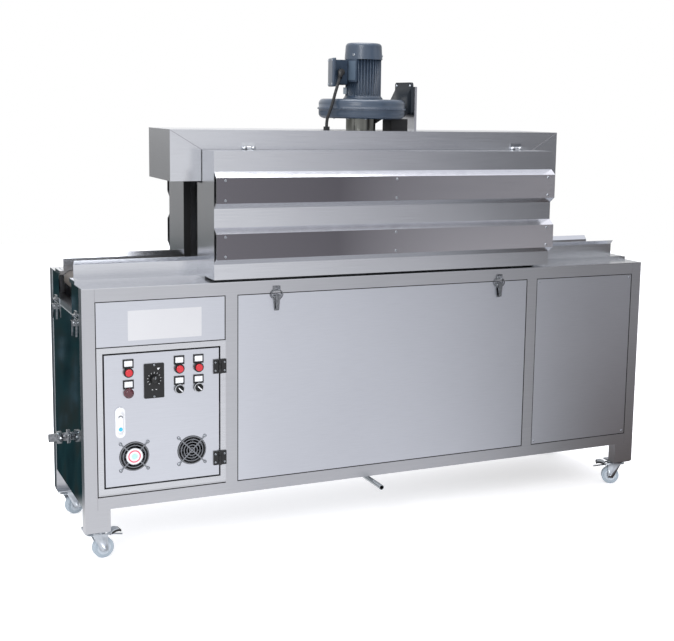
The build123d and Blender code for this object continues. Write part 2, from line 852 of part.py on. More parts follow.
# Cabinet fans behind the door: a square frame with a round bore, three struts, a hub and pitched blades
fan_face = front + sheet
blade_tilt = math.radians(fan_blade_pitch)
with BuildPart() as fans:
    for place in fan_places:
        with BuildSketch(at_y(fan_face + fan_depth)):
            with Locations(place):
                RectangleRounded(fan_size, fan_size, fan_round)
                Circle(fan_bore_radius, mode=Mode.SUBTRACT)
        extrude(amount=fan_depth)
        with BuildSketch(at_y(fan_face + fan_depth)):
            with Locations(place):
                Circle(fan_hub_radius)
                with PolarLocations(fan_bore_radius / 2, fan_strut_count, start_angle=90):
                    Rectangle(fan_bore_radius, fan_strut_width)
        extrude(amount=fan_strut_depth)
        with BuildSketch(at_y(fan_face + fan_depth)):
            with Locations(place):
                Circle(fan_hub_radius)
        extrude(amount=fan_depth - fan_strut_depth)
        for blade in range(fan_blade_count):
            turn = math.radians(360 * blade / fan_blade_count)
            radial = Vector(math.cos(turn), 0, math.sin(turn))
            center = Vector(place[0], fan_face + fan_depth / 2, place[1])
            root = center + radial * (fan_hub_radius - fan_blade_thickness)
            chord = Vector(
                -math.sin(turn) * math.sin(blade_tilt), math.cos(blade_tilt), math.cos(turn) * math.sin(blade_tilt)
            )
            with BuildSketch(Plane(origin=root, x_dir=chord, z_dir=radial)):
                Rectangle(fan_depth / 2, fan_blade_thickness)
            extrude(amount=fan_blade_reach)
finish(fans, "cabinet_fans")

# Fan guards: concentric rings on a cross of bars, with a mounting lug at each corner
with BuildPart() as guards:
    for place in fan_places:
        with BuildSketch(at_y(front)):
            with Locations(place):
                with GridLocations(guard_lug_pitch, guard_lug_pitch, 2, 2):
                    Circle(guard_lug_radius)
                for ring in range(guard_ring_count, 0, -1):
                    ring_radius = guard_ring_radius * ring / guard_ring_count
                    Circle(ring_radius)
                    Circle(ring_radius - guard_wire, mode=Mode.SUBTRACT)
                Rectangle(guard_lug_pitch * math.sqrt(2), guard_bar, rotation=45)
                Rectangle(guard_lug_pitch * math.sqrt(2), guard_bar, rotation=-45)
        extrude(amount=guard_depth)
finish(guards, "fan_guards")

# Duct from the hood up to the blower
with BuildPart() as duct:
    with BuildSketch(at_z(hood_top)):
        with Locations((middle_x + duct_offset, middle_y)):
            Circle(duct_radius)
            Circle(duct_radius - duct_wall, mode=Mode.SUBTRACT)
    extrude(amount=duct_height)
finish(duct, "blower_duct")

# Scroll housing: arcs that grow towards the outlet, in two halves with a seam.
# Its throat leaves sideways at the rear and flares up into a horn with a bolted flange.
outlet_x = middle_x + outlet_offset
outlet_z = volute_z + outlet_rise
outlet_front = middle_y
outlet_rear = middle_y + outlet_size[0]
outlet_top = outlet_z + outlet_size[1]
throat_low = volute_z + throat_inset
throat_high = volute_top - throat_inset


def scroll_line(extra):
    """Closed scroll outline seen from above, grown outwards by extra."""
    small = volute_radius + extra
    step = volute_growth / 3
    medium = small + step
    large = small + 2 * step
    RadiusArc((middle_x + small, middle_y), (middle_x, middle_y - small), small)
    RadiusArc((middle_x, middle_y - small), (middle_x - medium, middle_y + step), medium)
    RadiusArc((middle_x - medium, middle_y + step), (middle_x + step, middle_y + step + large), large)
    EllipticalCenterArc((middle_x + step, middle_y), small - step, large + step, start_angle=0, arc_size=90)


with BuildPart() as volute:
    with BuildSketch(at_z(volute_z)):
        with BuildLine():
            scroll_line(0.0)
        make_face()
    extrude(amount=volute_height)
    fillet(volute.faces().sort_by(Axis.Z)[-1].edges(), radius=volute_round)
    fillet(volute.faces().sort_by(Axis.Z)[0].edges(), radius=volute_round)
    with BuildSketch(at_z(volute_z + (volute_height - seam_thickness) / 2)):
        with BuildLine():
            scroll_line(seam_reach)
        make_face()
    extrude(amount=seam_thickness)
    with BuildSketch(at_x(middle_x + throat_start)):
        area(outlet_front + outlet_flange_margin, outlet_rear - outlet_flange_margin, throat_low, throat_high)
    extrude(amount=throat_offset - throat_start)
    with BuildSketch(at_x(middle_x + throat_offset)):
        area(outlet_front + outlet_flange_margin, outlet_rear - outlet_flange_margin, throat_low, throat_high)
    with BuildSketch(at_x(outlet_x - outlet_flange_thickness)):
        area(outlet_front + outlet_flange_margin, outlet_rear - outlet_flange_margin, outlet_z + horn_foot_rise,
             outlet_top - horn_top_drop)
    loft()
    with BuildSketch(at_x(outlet_x - outlet_flange_thickness)):
        with Locations(((outlet_front + outlet_rear) / 2, (outlet_z + outlet_top) / 2)):
            RectangleRounded(*outlet_size, outlet_flange_round)
    extrude(amount=outlet_flange_thickness)
finish(volute, "blower_volute")

# Supports on the hood: a stainless plate against the outlet flange and a block under the volute
with BuildPart() as supports:
    with BuildSketch(at_x(outlet_x)):
        area(outlet_front - outlet_plate_margin, outlet_rear + outlet_plate_margin, hood_top,
             outlet_top - outlet_plate_drop)
    extrude(amount=outlet_plate_thickness)
    with BuildSketch(at_z(hood_top)):
        with Locations((middle_x + block_offset, middle_y)):
            Rectangle(block_length, block_depth)
    extrude(amount=duct_height)
finish(supports, "blower_supports")

# Motor: finned body on a flared neck, with a flat pad for its plate, and a rounded fan cowl
motor_radius = motor_core_radius + fin_reach


def sideways(azimuth, distance, height):
    """Upright plane that faces away from the motor's axis, drawn with z up."""
    outward = Vector(math.cos(math.radians(azimuth)), math.sin(math.radians(azimuth)), 0)
    origin = Vector(middle_x, middle_y, height) + outward * distance
    return Plane(origin=origin, x_dir=(-outward.Y, outward.X, 0), z_dir=outward)


with BuildPart() as motor:
    with BuildSketch(at_z(motor_z)):
        with Locations((middle_x, middle_y)):
            Circle(motor_core_radius)
            with PolarLocations(motor_core_radius + (fin_reach - fin_root) / 2, fin_count):
                Rectangle(fin_reach + fin_root, fin_thickness)
    extrude(amount=motor_body_height)
    with BuildSketch(sideways(pad_azimuth, motor_core_radius - fin_root, cowl_z - pad_size[1] / 2)):
        Rectangle(*pad_size)
    extrude(amount=fin_reach + fin_root + pad_stand_off)
    with BuildSketch(at_z(volute_top)):
        with Locations((middle_x, middle_y)):
            Circle(neck_radius)
    with BuildSketch(at_z(motor_z)):
        with Locations((middle_x, middle_y)):
            Circle(motor_radius)
    loft()
finish(motor, "motor_body")

with BuildPart() as cowl:
    with BuildSketch(at_z(cowl_z)):
        with Locations((middle_x, middle_y)):
            Circle(cowl_radius)
    extrude(amount=cowl_height, taper=cowl_taper)
    fillet(cowl.faces().sort_by(Axis.Z)[-1].edges(), radius=cowl_round)
    offset(amount=-sheet, openings=cowl.faces().sort_by(Axis.Z)[0])
finish(cowl, "motor_cowl")

# Terminal box on the motor's left side, with a short neck and a larger cover
box_z = motor_z + terminal_box_rise
box_start = motor_radius + terminal_stand_off
box_end = box_start + terminal_box_length
with BuildPart() as terminal_box:
    with BuildSketch(sideways(terminal_azimuth, motor_core_radius, box_z)):
        Rectangle(terminal_neck_size, terminal_neck_size)
    extrude(amount=box_start - motor_core_radius)
    with BuildSketch(at_z(box_z - terminal_box_size[1])):
        with Locations((middle_x, middle_y)):
            Circle(motor_radius + fin_tip_gap)
    extrude(amount=2 * terminal_box_size[1], mode=Mode.SUBTRACT)
    with BuildSketch(sideways(terminal_azimuth, box_start, box_z)):
        RectangleRounded(*terminal_box_size, terminal_round)
    extrude(amount=terminal_box_length)
    cover_plane = sideways(terminal_azimuth, box_end, box_z)
    with BuildSketch(cover_plane):
        RectangleRounded(*terminal_cover_size, terminal_round)
    extrude(amount=terminal_cover)
    outward_axis = Axis(cover_plane.origin, cover_plane.z_dir)
    fillet(terminal_box.faces().sort_by(outward_axis)[-1].edges(), radius=cover_edge_round)
finish(terminal_box, "terminal_box")

# Cable from the terminal box down to the hood's roof: an elbow gland above and a straight gland below
gland_plane = sideways(terminal_azimuth + 90, terminal_box_size[0] / 2, box_z)
elbow_center = gland_plane.from_local_coords((-box_start - gland_offset, 0, gland_length / 2))
elbow_way = Vector(
    math.cos(math.radians(elbow_azimuth)) * math.cos(math.radians(elbow_drop)),
    math.sin(math.radians(elbow_azimuth)) * math.cos(math.radians(elbow_drop)),
    -math.sin(math.radians(elbow_drop)),
)
cable_start = elbow_center + elbow_way * elbow_length
route_points = [cable_start, cable_start + elbow_way * cable_first_run]
for bend in cable_bends:
    route_points.append(cable_start + Vector(*bend))
roof_gland = (route_points[-1].X, route_points[-1].Y)
route_points[-1] = Vector(*roof_gland, hood_top + roof_gland_height)
with BuildPart() as glands:
    with BuildSketch(gland_plane):
        with Locations((-box_start - gland_offset, 0)):
            Circle(gland_radius)
    extrude(amount=gland_length)
    with BuildSketch(Plane(origin=elbow_center, z_dir=elbow_way)):
        Circle(elbow_radius)
    extrude(amount=elbow_length)
    with BuildSketch(at_z(hood_top)):
        with Locations(roof_gland):
            RegularPolygon(gland_radius, 6)
    extrude(amount=roof_gland_height)
finish(glands, "cable_glands")

cable_radii = []
for before, corner, after in zip(route_points, route_points[1:], route_points[2:]):
    half_turn = math.radians((corner - before).get_angle(after - corner)) / 2
    cable_radii.append(0.45 * min((corner - before).length, (after - corner).length) / math.tan(half_turn))
print("cable radii", [round(value, 1) for value in cable_radii])
with BuildPart() as cable:
    with BuildLine() as cable_route:
        FilletPolyline(*route_points, radius=cable_radii)
    with BuildSketch(Plane(origin=route_points[0], z_dir=route_points[1] - route_points[0])):
        Circle(cable_radius)
    sweep()
finish(cable, "motor_cable")

# Steam inlet on the left end: wall flange, hexagon union and pipe stub
inlet_z = base + inlet_height
with BuildPart() as inlet:
    with BuildSketch(at_x(left - inlet_reach)):
        with Locations((middle_y, inlet_z)):
            Circle(inlet_pipe_radius)
    extrude(amount=inlet_reach + panel_recess)
    with BuildSketch(at_x(left - inlet_nut_place)):
        with Locations((middle_y, inlet_z)):
            RegularPolygon(inlet_radius, 6)
    extrude(amount=inlet_nut_length)
    with BuildSketch(at_x(left + panel_recess - inlet_flange_thickness)):
        with Locations((middle_y, inlet_z)):
            Circle(inlet_flange_radius)
    extrude(amount=inlet_flange_thickness)
    with BuildSketch(at_x(left - inlet_reach)):
        with Locations((middle_y, inlet_z)):
            Circle(inlet_bore_radius)
    extrude(amount=inlet_reach, mode=Mode.SUBTRACT)
finish(inlet, "steam_inlet")

# Drain pipe under the front rail, with an elbow up to the bottom sheet
drain_x = left + drain_place
drain_z = rail_z - drain_drop
drain_inner_y = front + 2 * tube + drain_elbow_inset
with BuildPart() as drain:
    with BuildLine() as drain_line:
        Line((drain_x, front - drain_reach, drain_z), (drain_x, drain_inner_y, drain_z))
        TangentArc(
            (drain_x, drain_inner_y, drain_z), (drain_x, drain_inner_y + drain_drop, rail_z), tangent=(0, 1, 0)
        )
    with BuildSketch(Plane(origin=(drain_x, front - drain_reach, drain_z), z_dir=(0, 1, 0))):
        Circle(drain_radius)
        Circle(drain_bore_radius, mode=Mode.SUBTRACT)
    sweep(path=drain_line.line)
finish(drain, "drain_pipe")

# Toggle latches: a tapered base plate with a pivot block and a lever below the seam, a keeper with a hook
# above it, and an oval wire bail between them
panel_plane = at_y(front + panel_recess)
left_end_plane = Plane(origin=(left + panel_recess, 0, 0), x_dir=(0, -1, 0), z_dir=(-1, 0, 0))
right_end_plane = Plane(origin=(right - panel_recess, 0, 0), x_dir=(0, 1, 0), z_dir=(1, 0, 0))
latch_spots = [(panel_plane, left + place, bay_top, panel_recess) for place in panel_latch_places]
for place in end_latch_places:
    latch_spots.append((left_end_plane, -front - place, end_panel_top, 0.0))
    latch_spots.append((right_end_plane, front + place, end_panel_top, 0.0))
bail_low = -latch_gap - pivot_height
bail_high = latch_gap + hook_height
with BuildPart() as latches:
    for plane, place, seam, keeper_lift in latch_spots:
        for low_lift, thickness, low_v, top_width, tail_width, length in (
            (0.0, latch_plate, -latch_gap, latch_width, latch_tail_width, latch_length),
            (latch_plate, pivot_depth - latch_plate, -latch_gap, pivot_width, pivot_width, pivot_height),
            (pivot_depth, lever_depth, -latch_gap, lever_width, lever_tail_width, lever_length),
            (keeper_lift, latch_plate, latch_gap + keeper_height, latch_width, latch_width, keeper_height),
            (keeper_lift, pivot_depth - keeper_lift, bail_high, hook_width, hook_width, hook_height),
        ):
            with BuildSketch(plane.offset(low_lift)):
                with BuildLine():
                    Polyline(
                        (place - top_width / 2, seam + low_v),
                        (place + top_width / 2, seam + low_v),
                        (place + tail_width / 2, seam + low_v - length),
                        (place - tail_width / 2, seam + low_v - length),
                        close=True,
                    )
                make_face()
            extrude(amount=thickness)
        with BuildSketch(plane.offset(bail_lift)):
            with Locations((place, seam + (bail_low + bail_high) / 2)):
                Ellipse(bail_width / 2, (bail_high - bail_low) / 2)
                Ellipse(bail_width / 2 - bail_wire, (bail_high - bail_low) / 2 - bail_wire, mode=Mode.SUBTRACT)
        extrude(amount=bail_wire)
finish(latches, "toggle_latches")

# Caster top plates with their ball races and kingpins, under the four corners
corner_inset = tube
plate_low = base - top_plate_thickness
race_low = plate_low - race_height
fork_top = race_low - fork_race_height
caster_corners = {
    "front_left": (left + corner_inset, front + corner_inset),
    "front_right": (right - corner_inset, front + corner_inset),
    "rear_left": (left + corner_inset, rear - corner_inset),
    "rear_right": (right - corner_inset, rear - corner_inset),
}
pin_low = fork_top - fork_sheet - race_height
with BuildPart() as caster_plates:
    for corner in caster_corners.values():
        with BuildSketch(at_z(plate_low)):
            with Locations(corner):
                RectangleRounded(2 * tube, top_plate_depth, top_plate_round)
        extrude(amount=top_plate_thickness)
        with BuildSketch(at_z(race_low)):
            with Locations(corner):
                Circle(race_radius)
        extrude(amount=race_height)
        with BuildSketch(at_z(pin_low)):
            with Locations(corner):
                Circle(kingpin_radius)
        extrude(amount=race_low - pin_low)
        with BuildSketch(at_z(pin_low)):
            with Locations(corner):
                RegularPolygon(nut_radius, 6)
        extrude(amount=race_height - race_gap)
finish(caster_plates, "caster_plates")

# Casters: a pressed fork that swivels on the kingpin, with a brake pedal and its release rod over the wheel,
# and a wheel on its axle
fork_inner = wheel_width / 2 + wheel_side_gap
fork_outer = fork_inner + fork_sheet
eye_top = wheel_radius - fork_eye_drop
pedal_top = base - pedal_drop
pedal_foot = pedal_top - pedal_bow
for (name, corner), (_, yaw) in zip(caster_corners.items(), caster_yaws):
    trail = Vector(math.cos(math.radians(yaw)), math.sin(math.radians(yaw)), 0)
    side = Vector(-trail.Y, trail.X, 0)
    fork_level = Plane(origin=(corner[0], corner[1], fork_top - fork_sheet), x_dir=trail, z_dir=(0, 0, 1))
    fork_side = Plane(origin=(corner[0], corner[1], 0), x_dir=-trail, z_dir=side)
    with BuildPart() as fork:
        with BuildSketch(fork_level):
            SlotCenterPoint((0, 0), (caster_trail / 2, 0), 2 * fork_outer)
        extrude(amount=fork_sheet)
        with BuildSketch(fork_level.offset(fork_sheet)):
            Circle(race_radius)
        extrude(amount=fork_race_height - race_gap)
        for low_side in (fork_inner, -fork_outer):
            with BuildSketch(fork_side.offset(low_side)):
                with BuildLine():
                    Polyline(
                        (fork_side_width / 2, fork_top - fork_sheet / 2),
                        (-caster_trail + fork_eye, eye_top),
                        (-caster_trail - fork_eye, eye_top),
                        (-caster_trail - fork_side_width / 3, fork_top - 2 * fork_sheet),
                        (-pedal_start - fork_sheet, pedal_foot),
                        (-pedal_start, fork_top - fork_sheet / 2),
                        close=True,
                    )
                make_face()
            extrude(amount=fork_sheet)
        with BuildSketch(fork_side.offset(-fork_outer - axle_radius)):
            with Locations((-caster_trail, wheel_radius)):
                Circle(axle_radius)
        extrude(amount=2 * (fork_outer + axle_radius))
        with BuildSketch(fork_side.offset(-fork_inner)):
            with BuildLine():
                ThreePointArc(
                    (-pedal_start, pedal_foot),
                    (-(pedal_start + pedal_reach) / 2, pedal_top - pedal_thickness),
                    (-pedal_reach, pedal_top - pedal_thickness - pedal_bow / 4),
                )
                Line(
                    (-pedal_reach, pedal_top - pedal_thickness - pedal_bow / 4),
                    (-pedal_reach, pedal_top - pedal_bow / 4),
                )
                ThreePointArc(
                    (-pedal_reach, pedal_top - pedal_bow / 4),
                    (-(pedal_start + pedal_reach) / 2, pedal_top),
                    (-pedal_start, pedal_foot + pedal_thickness),
                )
                Line((-pedal_start, pedal_foot + pedal_thickness), (-pedal_start, pedal_foot))
            make_face()
        extrude(amount=2 * fork_inner)
        rod_start = Vector(corner[0], corner[1], pedal_foot) + trail * pedal_start
        rod_end = Vector(corner[0], corner[1], pedal_foot - release_rod_radius * 3) + trail * release_rod_reach
        with BuildSketch(Plane(origin=rod_start, z_dir=rod_end - rod_start)):
            Circle(release_rod_radius)
        extrude(amount=(rod_end - rod_start).length)
        with BuildSketch(at_z(fork_top - 2 * fork_sheet)):
            with Locations(corner):
                Circle(kingpin_radius + running_clearance)
        extrude(amount=race_height + 3 * fork_sheet, mode=Mode.SUBTRACT)
    finish(fork, "fork_" + name)
    with BuildPart() as wheel:
        with BuildSketch(fork_side.offset(-wheel_width / 2)):
            with Locations((-caster_trail, wheel_radius)):
                Circle(wheel_radius)
        extrude(amount=wheel_width)
        fillet(wheel.edges().filter_by(GeomType.CIRCLE), radius=wheel_round)
        with BuildSketch(fork_side.offset(-wheel_width / 2)):
            with Locations((-caster_trail, wheel_radius)):
                Circle(axle_radius + running_clearance)
        extrude(amount=wheel_width, mode=Mode.SUBTRACT)
    finish(wheel, "wheel_" + name)
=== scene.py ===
"""Looks of the steam shrink machine: finishes, small fittings, the motor cable, light and camera."""

import json
import logging
import math
from dataclasses import dataclass, field
from enum import Enum
from typing import Callable, ClassVar, Iterable, Optional, Sequence, Union

import bmesh
import bpy
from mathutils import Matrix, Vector

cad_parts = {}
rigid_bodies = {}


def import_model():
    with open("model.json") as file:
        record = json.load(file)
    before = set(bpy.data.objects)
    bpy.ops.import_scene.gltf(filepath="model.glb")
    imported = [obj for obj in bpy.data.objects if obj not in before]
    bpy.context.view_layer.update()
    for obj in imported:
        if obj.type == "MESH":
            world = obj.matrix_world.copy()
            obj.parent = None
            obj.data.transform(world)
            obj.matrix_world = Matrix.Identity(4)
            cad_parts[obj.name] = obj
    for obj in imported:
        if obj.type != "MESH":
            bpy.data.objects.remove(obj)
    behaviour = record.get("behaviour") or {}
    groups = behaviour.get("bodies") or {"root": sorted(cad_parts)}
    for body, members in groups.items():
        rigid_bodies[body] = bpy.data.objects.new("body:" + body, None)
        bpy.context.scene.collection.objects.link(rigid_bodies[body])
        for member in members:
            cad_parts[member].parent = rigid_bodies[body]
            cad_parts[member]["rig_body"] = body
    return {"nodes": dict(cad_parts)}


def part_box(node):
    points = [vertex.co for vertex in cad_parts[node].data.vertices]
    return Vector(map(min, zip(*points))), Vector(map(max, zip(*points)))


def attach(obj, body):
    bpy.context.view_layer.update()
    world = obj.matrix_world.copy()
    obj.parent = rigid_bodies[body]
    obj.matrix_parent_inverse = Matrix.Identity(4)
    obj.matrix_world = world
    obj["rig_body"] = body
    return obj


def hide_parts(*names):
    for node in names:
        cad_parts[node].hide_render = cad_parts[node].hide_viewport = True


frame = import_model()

log = logging.getLogger("steam_shrink_machine")

Tree = bpy.types.NodeTree
Socket = bpy.types.NodeSocket
Shape = bmesh.types.BMesh
Piece = bpy.types.Object

MM = 0.001
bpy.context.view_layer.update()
TOWARDS_FRONT = (math.pi / 2, 0.0, 0.0)
TOWARDS_REAR = (-math.pi / 2, 0.0, 0.0)
TOWARDS_LEFT = (0.0, -math.pi / 2, 0.0)
DOWNWARD = (math.pi, 0.0, 0.0)
FORWARD = Vector((0.0, -1.0, 0.0))
SIDEWAYS = Vector((1.0, 0.0, 0.0))
UP = Vector((0.0, 0.0, 1.0))
SMOOTH_ANGLE = math.radians(35)
MERGE_DISTANCE = 1e-6


class Grain(Enum):
    """Direction of the brushing on a sheet."""

    ALONG_X = (1.0, 0.0, 0.0)
    ALONG_Z = (0.0, 0.0, 1.0)


def linear(hex_colour: str) -> tuple:
    """Turn an sRGB colour such as #AABBCC into linear values.

    Args:
        hex_colour: The colour as six hexadecimal digits after a hash mark.

    Returns:
        Red, green, blue and an alpha of 1, linear.
    """
    channels = [int(hex_colour[i:i + 2], 16) / 255 for i in (1, 3, 5)]
    values = [c / 12.92 if c <= 0.04045 else ((c + 0.055) / 1.055) ** 2.4 for c in channels]
    return (*values, 1.0)


def add_node(tree: Tree, kind: str, inputs: Optional[dict] = None, links: Optional[dict] = None,
             **settings: object) -> bpy.types.Node:
    """Add one node with its settings, constant inputs and incoming links.

    Args:
        tree: The node tree that gets the node.
        kind: The node's type name.
        inputs: Socket name or index to a constant value.
        links: Socket name or index to the output socket that feeds it.
        settings: Attributes of the node itself.

    Returns:
        The new node.
    """
    node = tree.nodes.new(kind)
    for key, value in settings.items():
        setattr(node, key, value)
    for key, value in (inputs or {}).items():
        node.inputs[key].default_value = value
    for key, source in (links or {}).items():
        tree.links.new(source, node.inputs[key])
    return node


def new_material(name: str) -> tuple:
    """Make an empty node material.

    Args:
        name: The finish's name.

    Returns:
        The material, its tree and its Principled shader.
    """
    material = bpy.data.materials.new(name)
    material.use_nodes = True
    tree = material.node_tree
    shader = next(node for node in tree.nodes if node.type == "BSDF_PRINCIPLED")
    return material, tree, shader


def axes(tree: Tree, kind: str = "Object") -> tuple:
    """Coordinates as three values.

    Args:
        tree: The node tree.
        kind: Which coordinates.

    Returns:
        The sockets of X, Y and Z.
    """
    place = add_node(tree, "ShaderNodeTexCoord")
    return tuple(add_node(tree, "ShaderNodeSeparateXYZ", links={"Vector": place.outputs[kind]}).outputs)


def noise(tree: Tree, scale: float, detail: float, stretch: Sequence[float] = (1.0, 1.0, 1.0),
          roughness: float = 0.5) -> Socket:
    """Noise over object coordinates.

    Args:
        tree: The material's tree.
        scale: Scale of the noise.
        detail: Number of finer layers.
        stretch: Scale of the coordinates along X, Y and Z.
        roughness: Strength of the finer layers.

    Returns:
        The pattern's socket.
    """
    place = add_node(tree, "ShaderNodeTexCoord")
    mapping = add_node(tree, "ShaderNodeMapping", {"Scale": stretch}, {"Vector": place.outputs["Object"]})
    pattern = add_node(tree, "ShaderNodeTexNoise", {"Scale": scale, "Detail": detail, "Roughness": roughness},
                       {"Vector": mapping.outputs["Vector"]})
    return pattern.outputs["Fac"]


def remap(tree: Tree, source: Socket, start: float, end: float, low: float = 0.0, high: float = 1.0,
          smooth: bool = True) -> Socket:
    """Map a stretch of a value to a range.

    Args:
        tree: The node tree.
        source: The value's socket.
        start: Value that gives the low end.
        end: Value that gives the high end.
        low: Low end of the range.
        high: High end of the range.
        smooth: Whether it eases in and out.

    Returns:
        The mapped value's socket.
    """
    node = add_node(tree, "ShaderNodeMapRange", {"From Min": start, "From Max": end, "To Min": low, "To Max": high},
                    {"Value": source}, interpolation_type="SMOOTHSTEP" if smooth else "LINEAR")
    return node.outputs["Result"]


def tint(tree: Tree, share: Socket, first: Union[Socket, str], second: Union[Socket, str]) -> Socket:
    """Mix two colours, each given as a socket or an sRGB value.

    Args:
        tree: The node tree.
        share: Socket of the second colour's share.
        first: Colour where the share is 0.
        second: Colour where the share is 1.

    Returns:
        The colour socket.
    """
    node = add_node(tree, "ShaderNodeMix", links={0: share}, data_type="RGBA")
    for number, colour in ((6, first), (7, second)):
        if isinstance(colour, str):
            node.inputs[number].default_value = linear(colour)
        else:
            tree.links.new(colour, node.inputs[number])
    return node.outputs[2]


def calculate(tree: Tree, operation: str, *terms: Union[Socket, float]) -> Socket:
    """Work out a value from sockets and numbers.

    Args:
        tree: The node tree.
        operation: The Math node's operation.
        terms: Its inputs, in order.

    Returns:
        The result's socket.
    """
    node = add_node(tree, "ShaderNodeMath", operation=operation)
    for number, term in enumerate(terms):
        if isinstance(term, float):
            node.inputs[number].default_value = term
        else:
            tree.links.new(term, node.inputs[number])
    return node.outputs[0]


def ramp(tree: Tree, source: Socket, stops: Sequence[tuple]) -> Socket:
    """Colours along a value.

    Args:
        tree: The node tree.
        source: The value's socket.
        stops: Pairs of value and sRGB colour, in rising order.

    Returns:
        The colour socket.
    """
    node = add_node(tree, "ShaderNodeValToRGB", links={0: source})
    elements = node.color_ramp.elements
    elements[0].position, elements[1].position = stops[0][0], stops[-1][0]
    for place, colour in stops[1:-1]:
        elements.new(place).color = linear(colour)
    elements[0].color, elements[len(elements) - 1].color = linear(stops[0][1]), linear(stops[-1][1])
    return node.outputs["Color"]


def emboss(tree: Tree, shader: bpy.types.Node, height: Socket, strength: float, depth: float) -> None:
    """Give a shader a bump.

    Args:
        tree: The material's tree.
        shader: Its Principled shader.
        height: The pattern's socket.
        strength: How much of the bump shows, from 0 to 1.
        depth: Depth of the pattern in metres.
    """
    bump = add_node(tree, "ShaderNodeBump", {"Strength": strength, "Distance": depth}, {"Height": height})
    tree.links.new(bump.outputs["Normal"], shader.inputs["Normal"])


@dataclass(frozen=True)
class Finish:
    """A surface with two tones and a range of roughness, both led by patterns."""

    name: str
    dark: str
    pale: str
    rough_low: float
    rough_high: float
    metallic: ClassVar[float] = 1.0

    def lead(self, tree: Tree, shader: bpy.types.Node, tone: Socket, gloss: Socket) -> None:
        """Wire the tones and the roughness.

        Args:
            tree: The material's tree.
            shader: Its Principled shader.
            tone: Pattern that goes from the dark tone to the pale one.
            gloss: Pattern that goes from the low roughness to the high one.
        """
        tree.links.new(tint(tree, tone, self.dark, self.pale), shader.inputs["Base Color"])
        rough = remap(tree, gloss, 0.0, 1.0, self.rough_low, self.rough_high, smooth=False)
        tree.links.new(rough, shader.inputs["Roughness"])
        shader.inputs["Metallic"].default_value = self.metallic


@dataclass(frozen=True)
class BrushedSteel(Finish):
    """Stainless sheet with a brushed finish: fine parallel lines and a soft, stretched reflection."""

    dark: str = "#B7B9BD"
    pale: str = "#DBDDE1"
    rough_low: float = 0.18
    rough_high: float = 0.28
    grain: Grain = Grain.ALONG_X
    line_pitch_mm: float = 1.6
    line_length_mm: float = 160.0
    line_depth_mm: float = 0.12
    line_strength: float = 0.12
    cloud_pitch_mm: float = 320.0
    cloud_share: float = 0.35

    def material(self) -> bpy.types.Material:
        """Build the finish. Lines are drawn coarser than real grit, so that they show.

        Returns:
            The material.
        """
        material, tree, shader = new_material(self.name)
        across, along = 1.0 / (self.line_pitch_mm * MM), 1.0 / (self.line_length_mm * MM)
        lines = noise(tree, 1.0, 3.0, [along if axis else across for axis in self.grain.value], 0.6)
        clouds = noise(tree, 1.0 / (self.cloud_pitch_mm * MM), 2.0)
        both = add_node(tree, "ShaderNodeMix", {0: self.cloud_share}, {2: lines, 3: clouds}).outputs[0]
        self.lead(tree, shader, both, both)
        emboss(tree, shader, lines, self.line_strength, self.line_depth_mm * MM)
        return material


@dataclass(frozen=True)
class PlatedSteel(Finish):
    """Polished or plated steel: bright metal with faint mottling."""

    mottle_mm: float = 9.0

    def material(self) -> bpy.types.Material:
        """Build the finish.

        Returns:
            The material.
        """
        material, tree, shader = new_material(self.name)
        mottle = noise(tree, 1.0 / (self.mottle_mm * MM), 4.0)
        self.lead(tree, shader, mottle, mottle)
        return material


@dataclass(frozen=True)
class GradedSteel(Finish):
    """Polished steel that goes from its dark tone at the left to its pale one at the right: a painted reflection, dark
    where a dark room mirrors in it.
    """

    span: tuple = (0.0, 1.0)
    streak_stretch: tuple = (5.0, 500.0, 500.0)

    def material(self) -> bpy.types.Material:
        """Build the finish.

        Returns:
            The material.
        """
        material, tree, shader = new_material(self.name)
        # Painted reflection: the colour pales from left to right along X.
        share = remap(tree, axes(tree)[0], *self.span, smooth=False)
        self.lead(tree, shader, share, noise(tree, 1.0, 3.0, self.streak_stretch))
        return material


@dataclass(frozen=True)
class Coating(Finish):
    """Paint, plastic or rubber: colour with a little variation and a fine surface texture."""

    texture_mm: float = 1.0
    bump_mm: float = 0.01
    coat: float = 0.0
    broad_share: float = 0.05
    bump_strength: float = 0.4
    coat_roughness: float = 0.12
    metallic: ClassVar[float] = 0.0

    def material(self) -> bpy.types.Material:
        """Build the finish.

        Returns:
            The material.
        """
        material, tree, shader = new_material(self.name)
        texture = noise(tree, 1.0 / (self.texture_mm * MM), 5.0)
        broad = noise(tree, self.broad_share / (self.texture_mm * MM), 2.0)
        self.lead(tree, shader, broad, texture)
        emboss(tree, shader, texture, self.bump_strength, self.bump_mm * MM)
        shader.inputs["Coat Weight"].default_value = self.coat
        shader.inputs["Coat Roughness"].default_value = self.coat_roughness
        return material


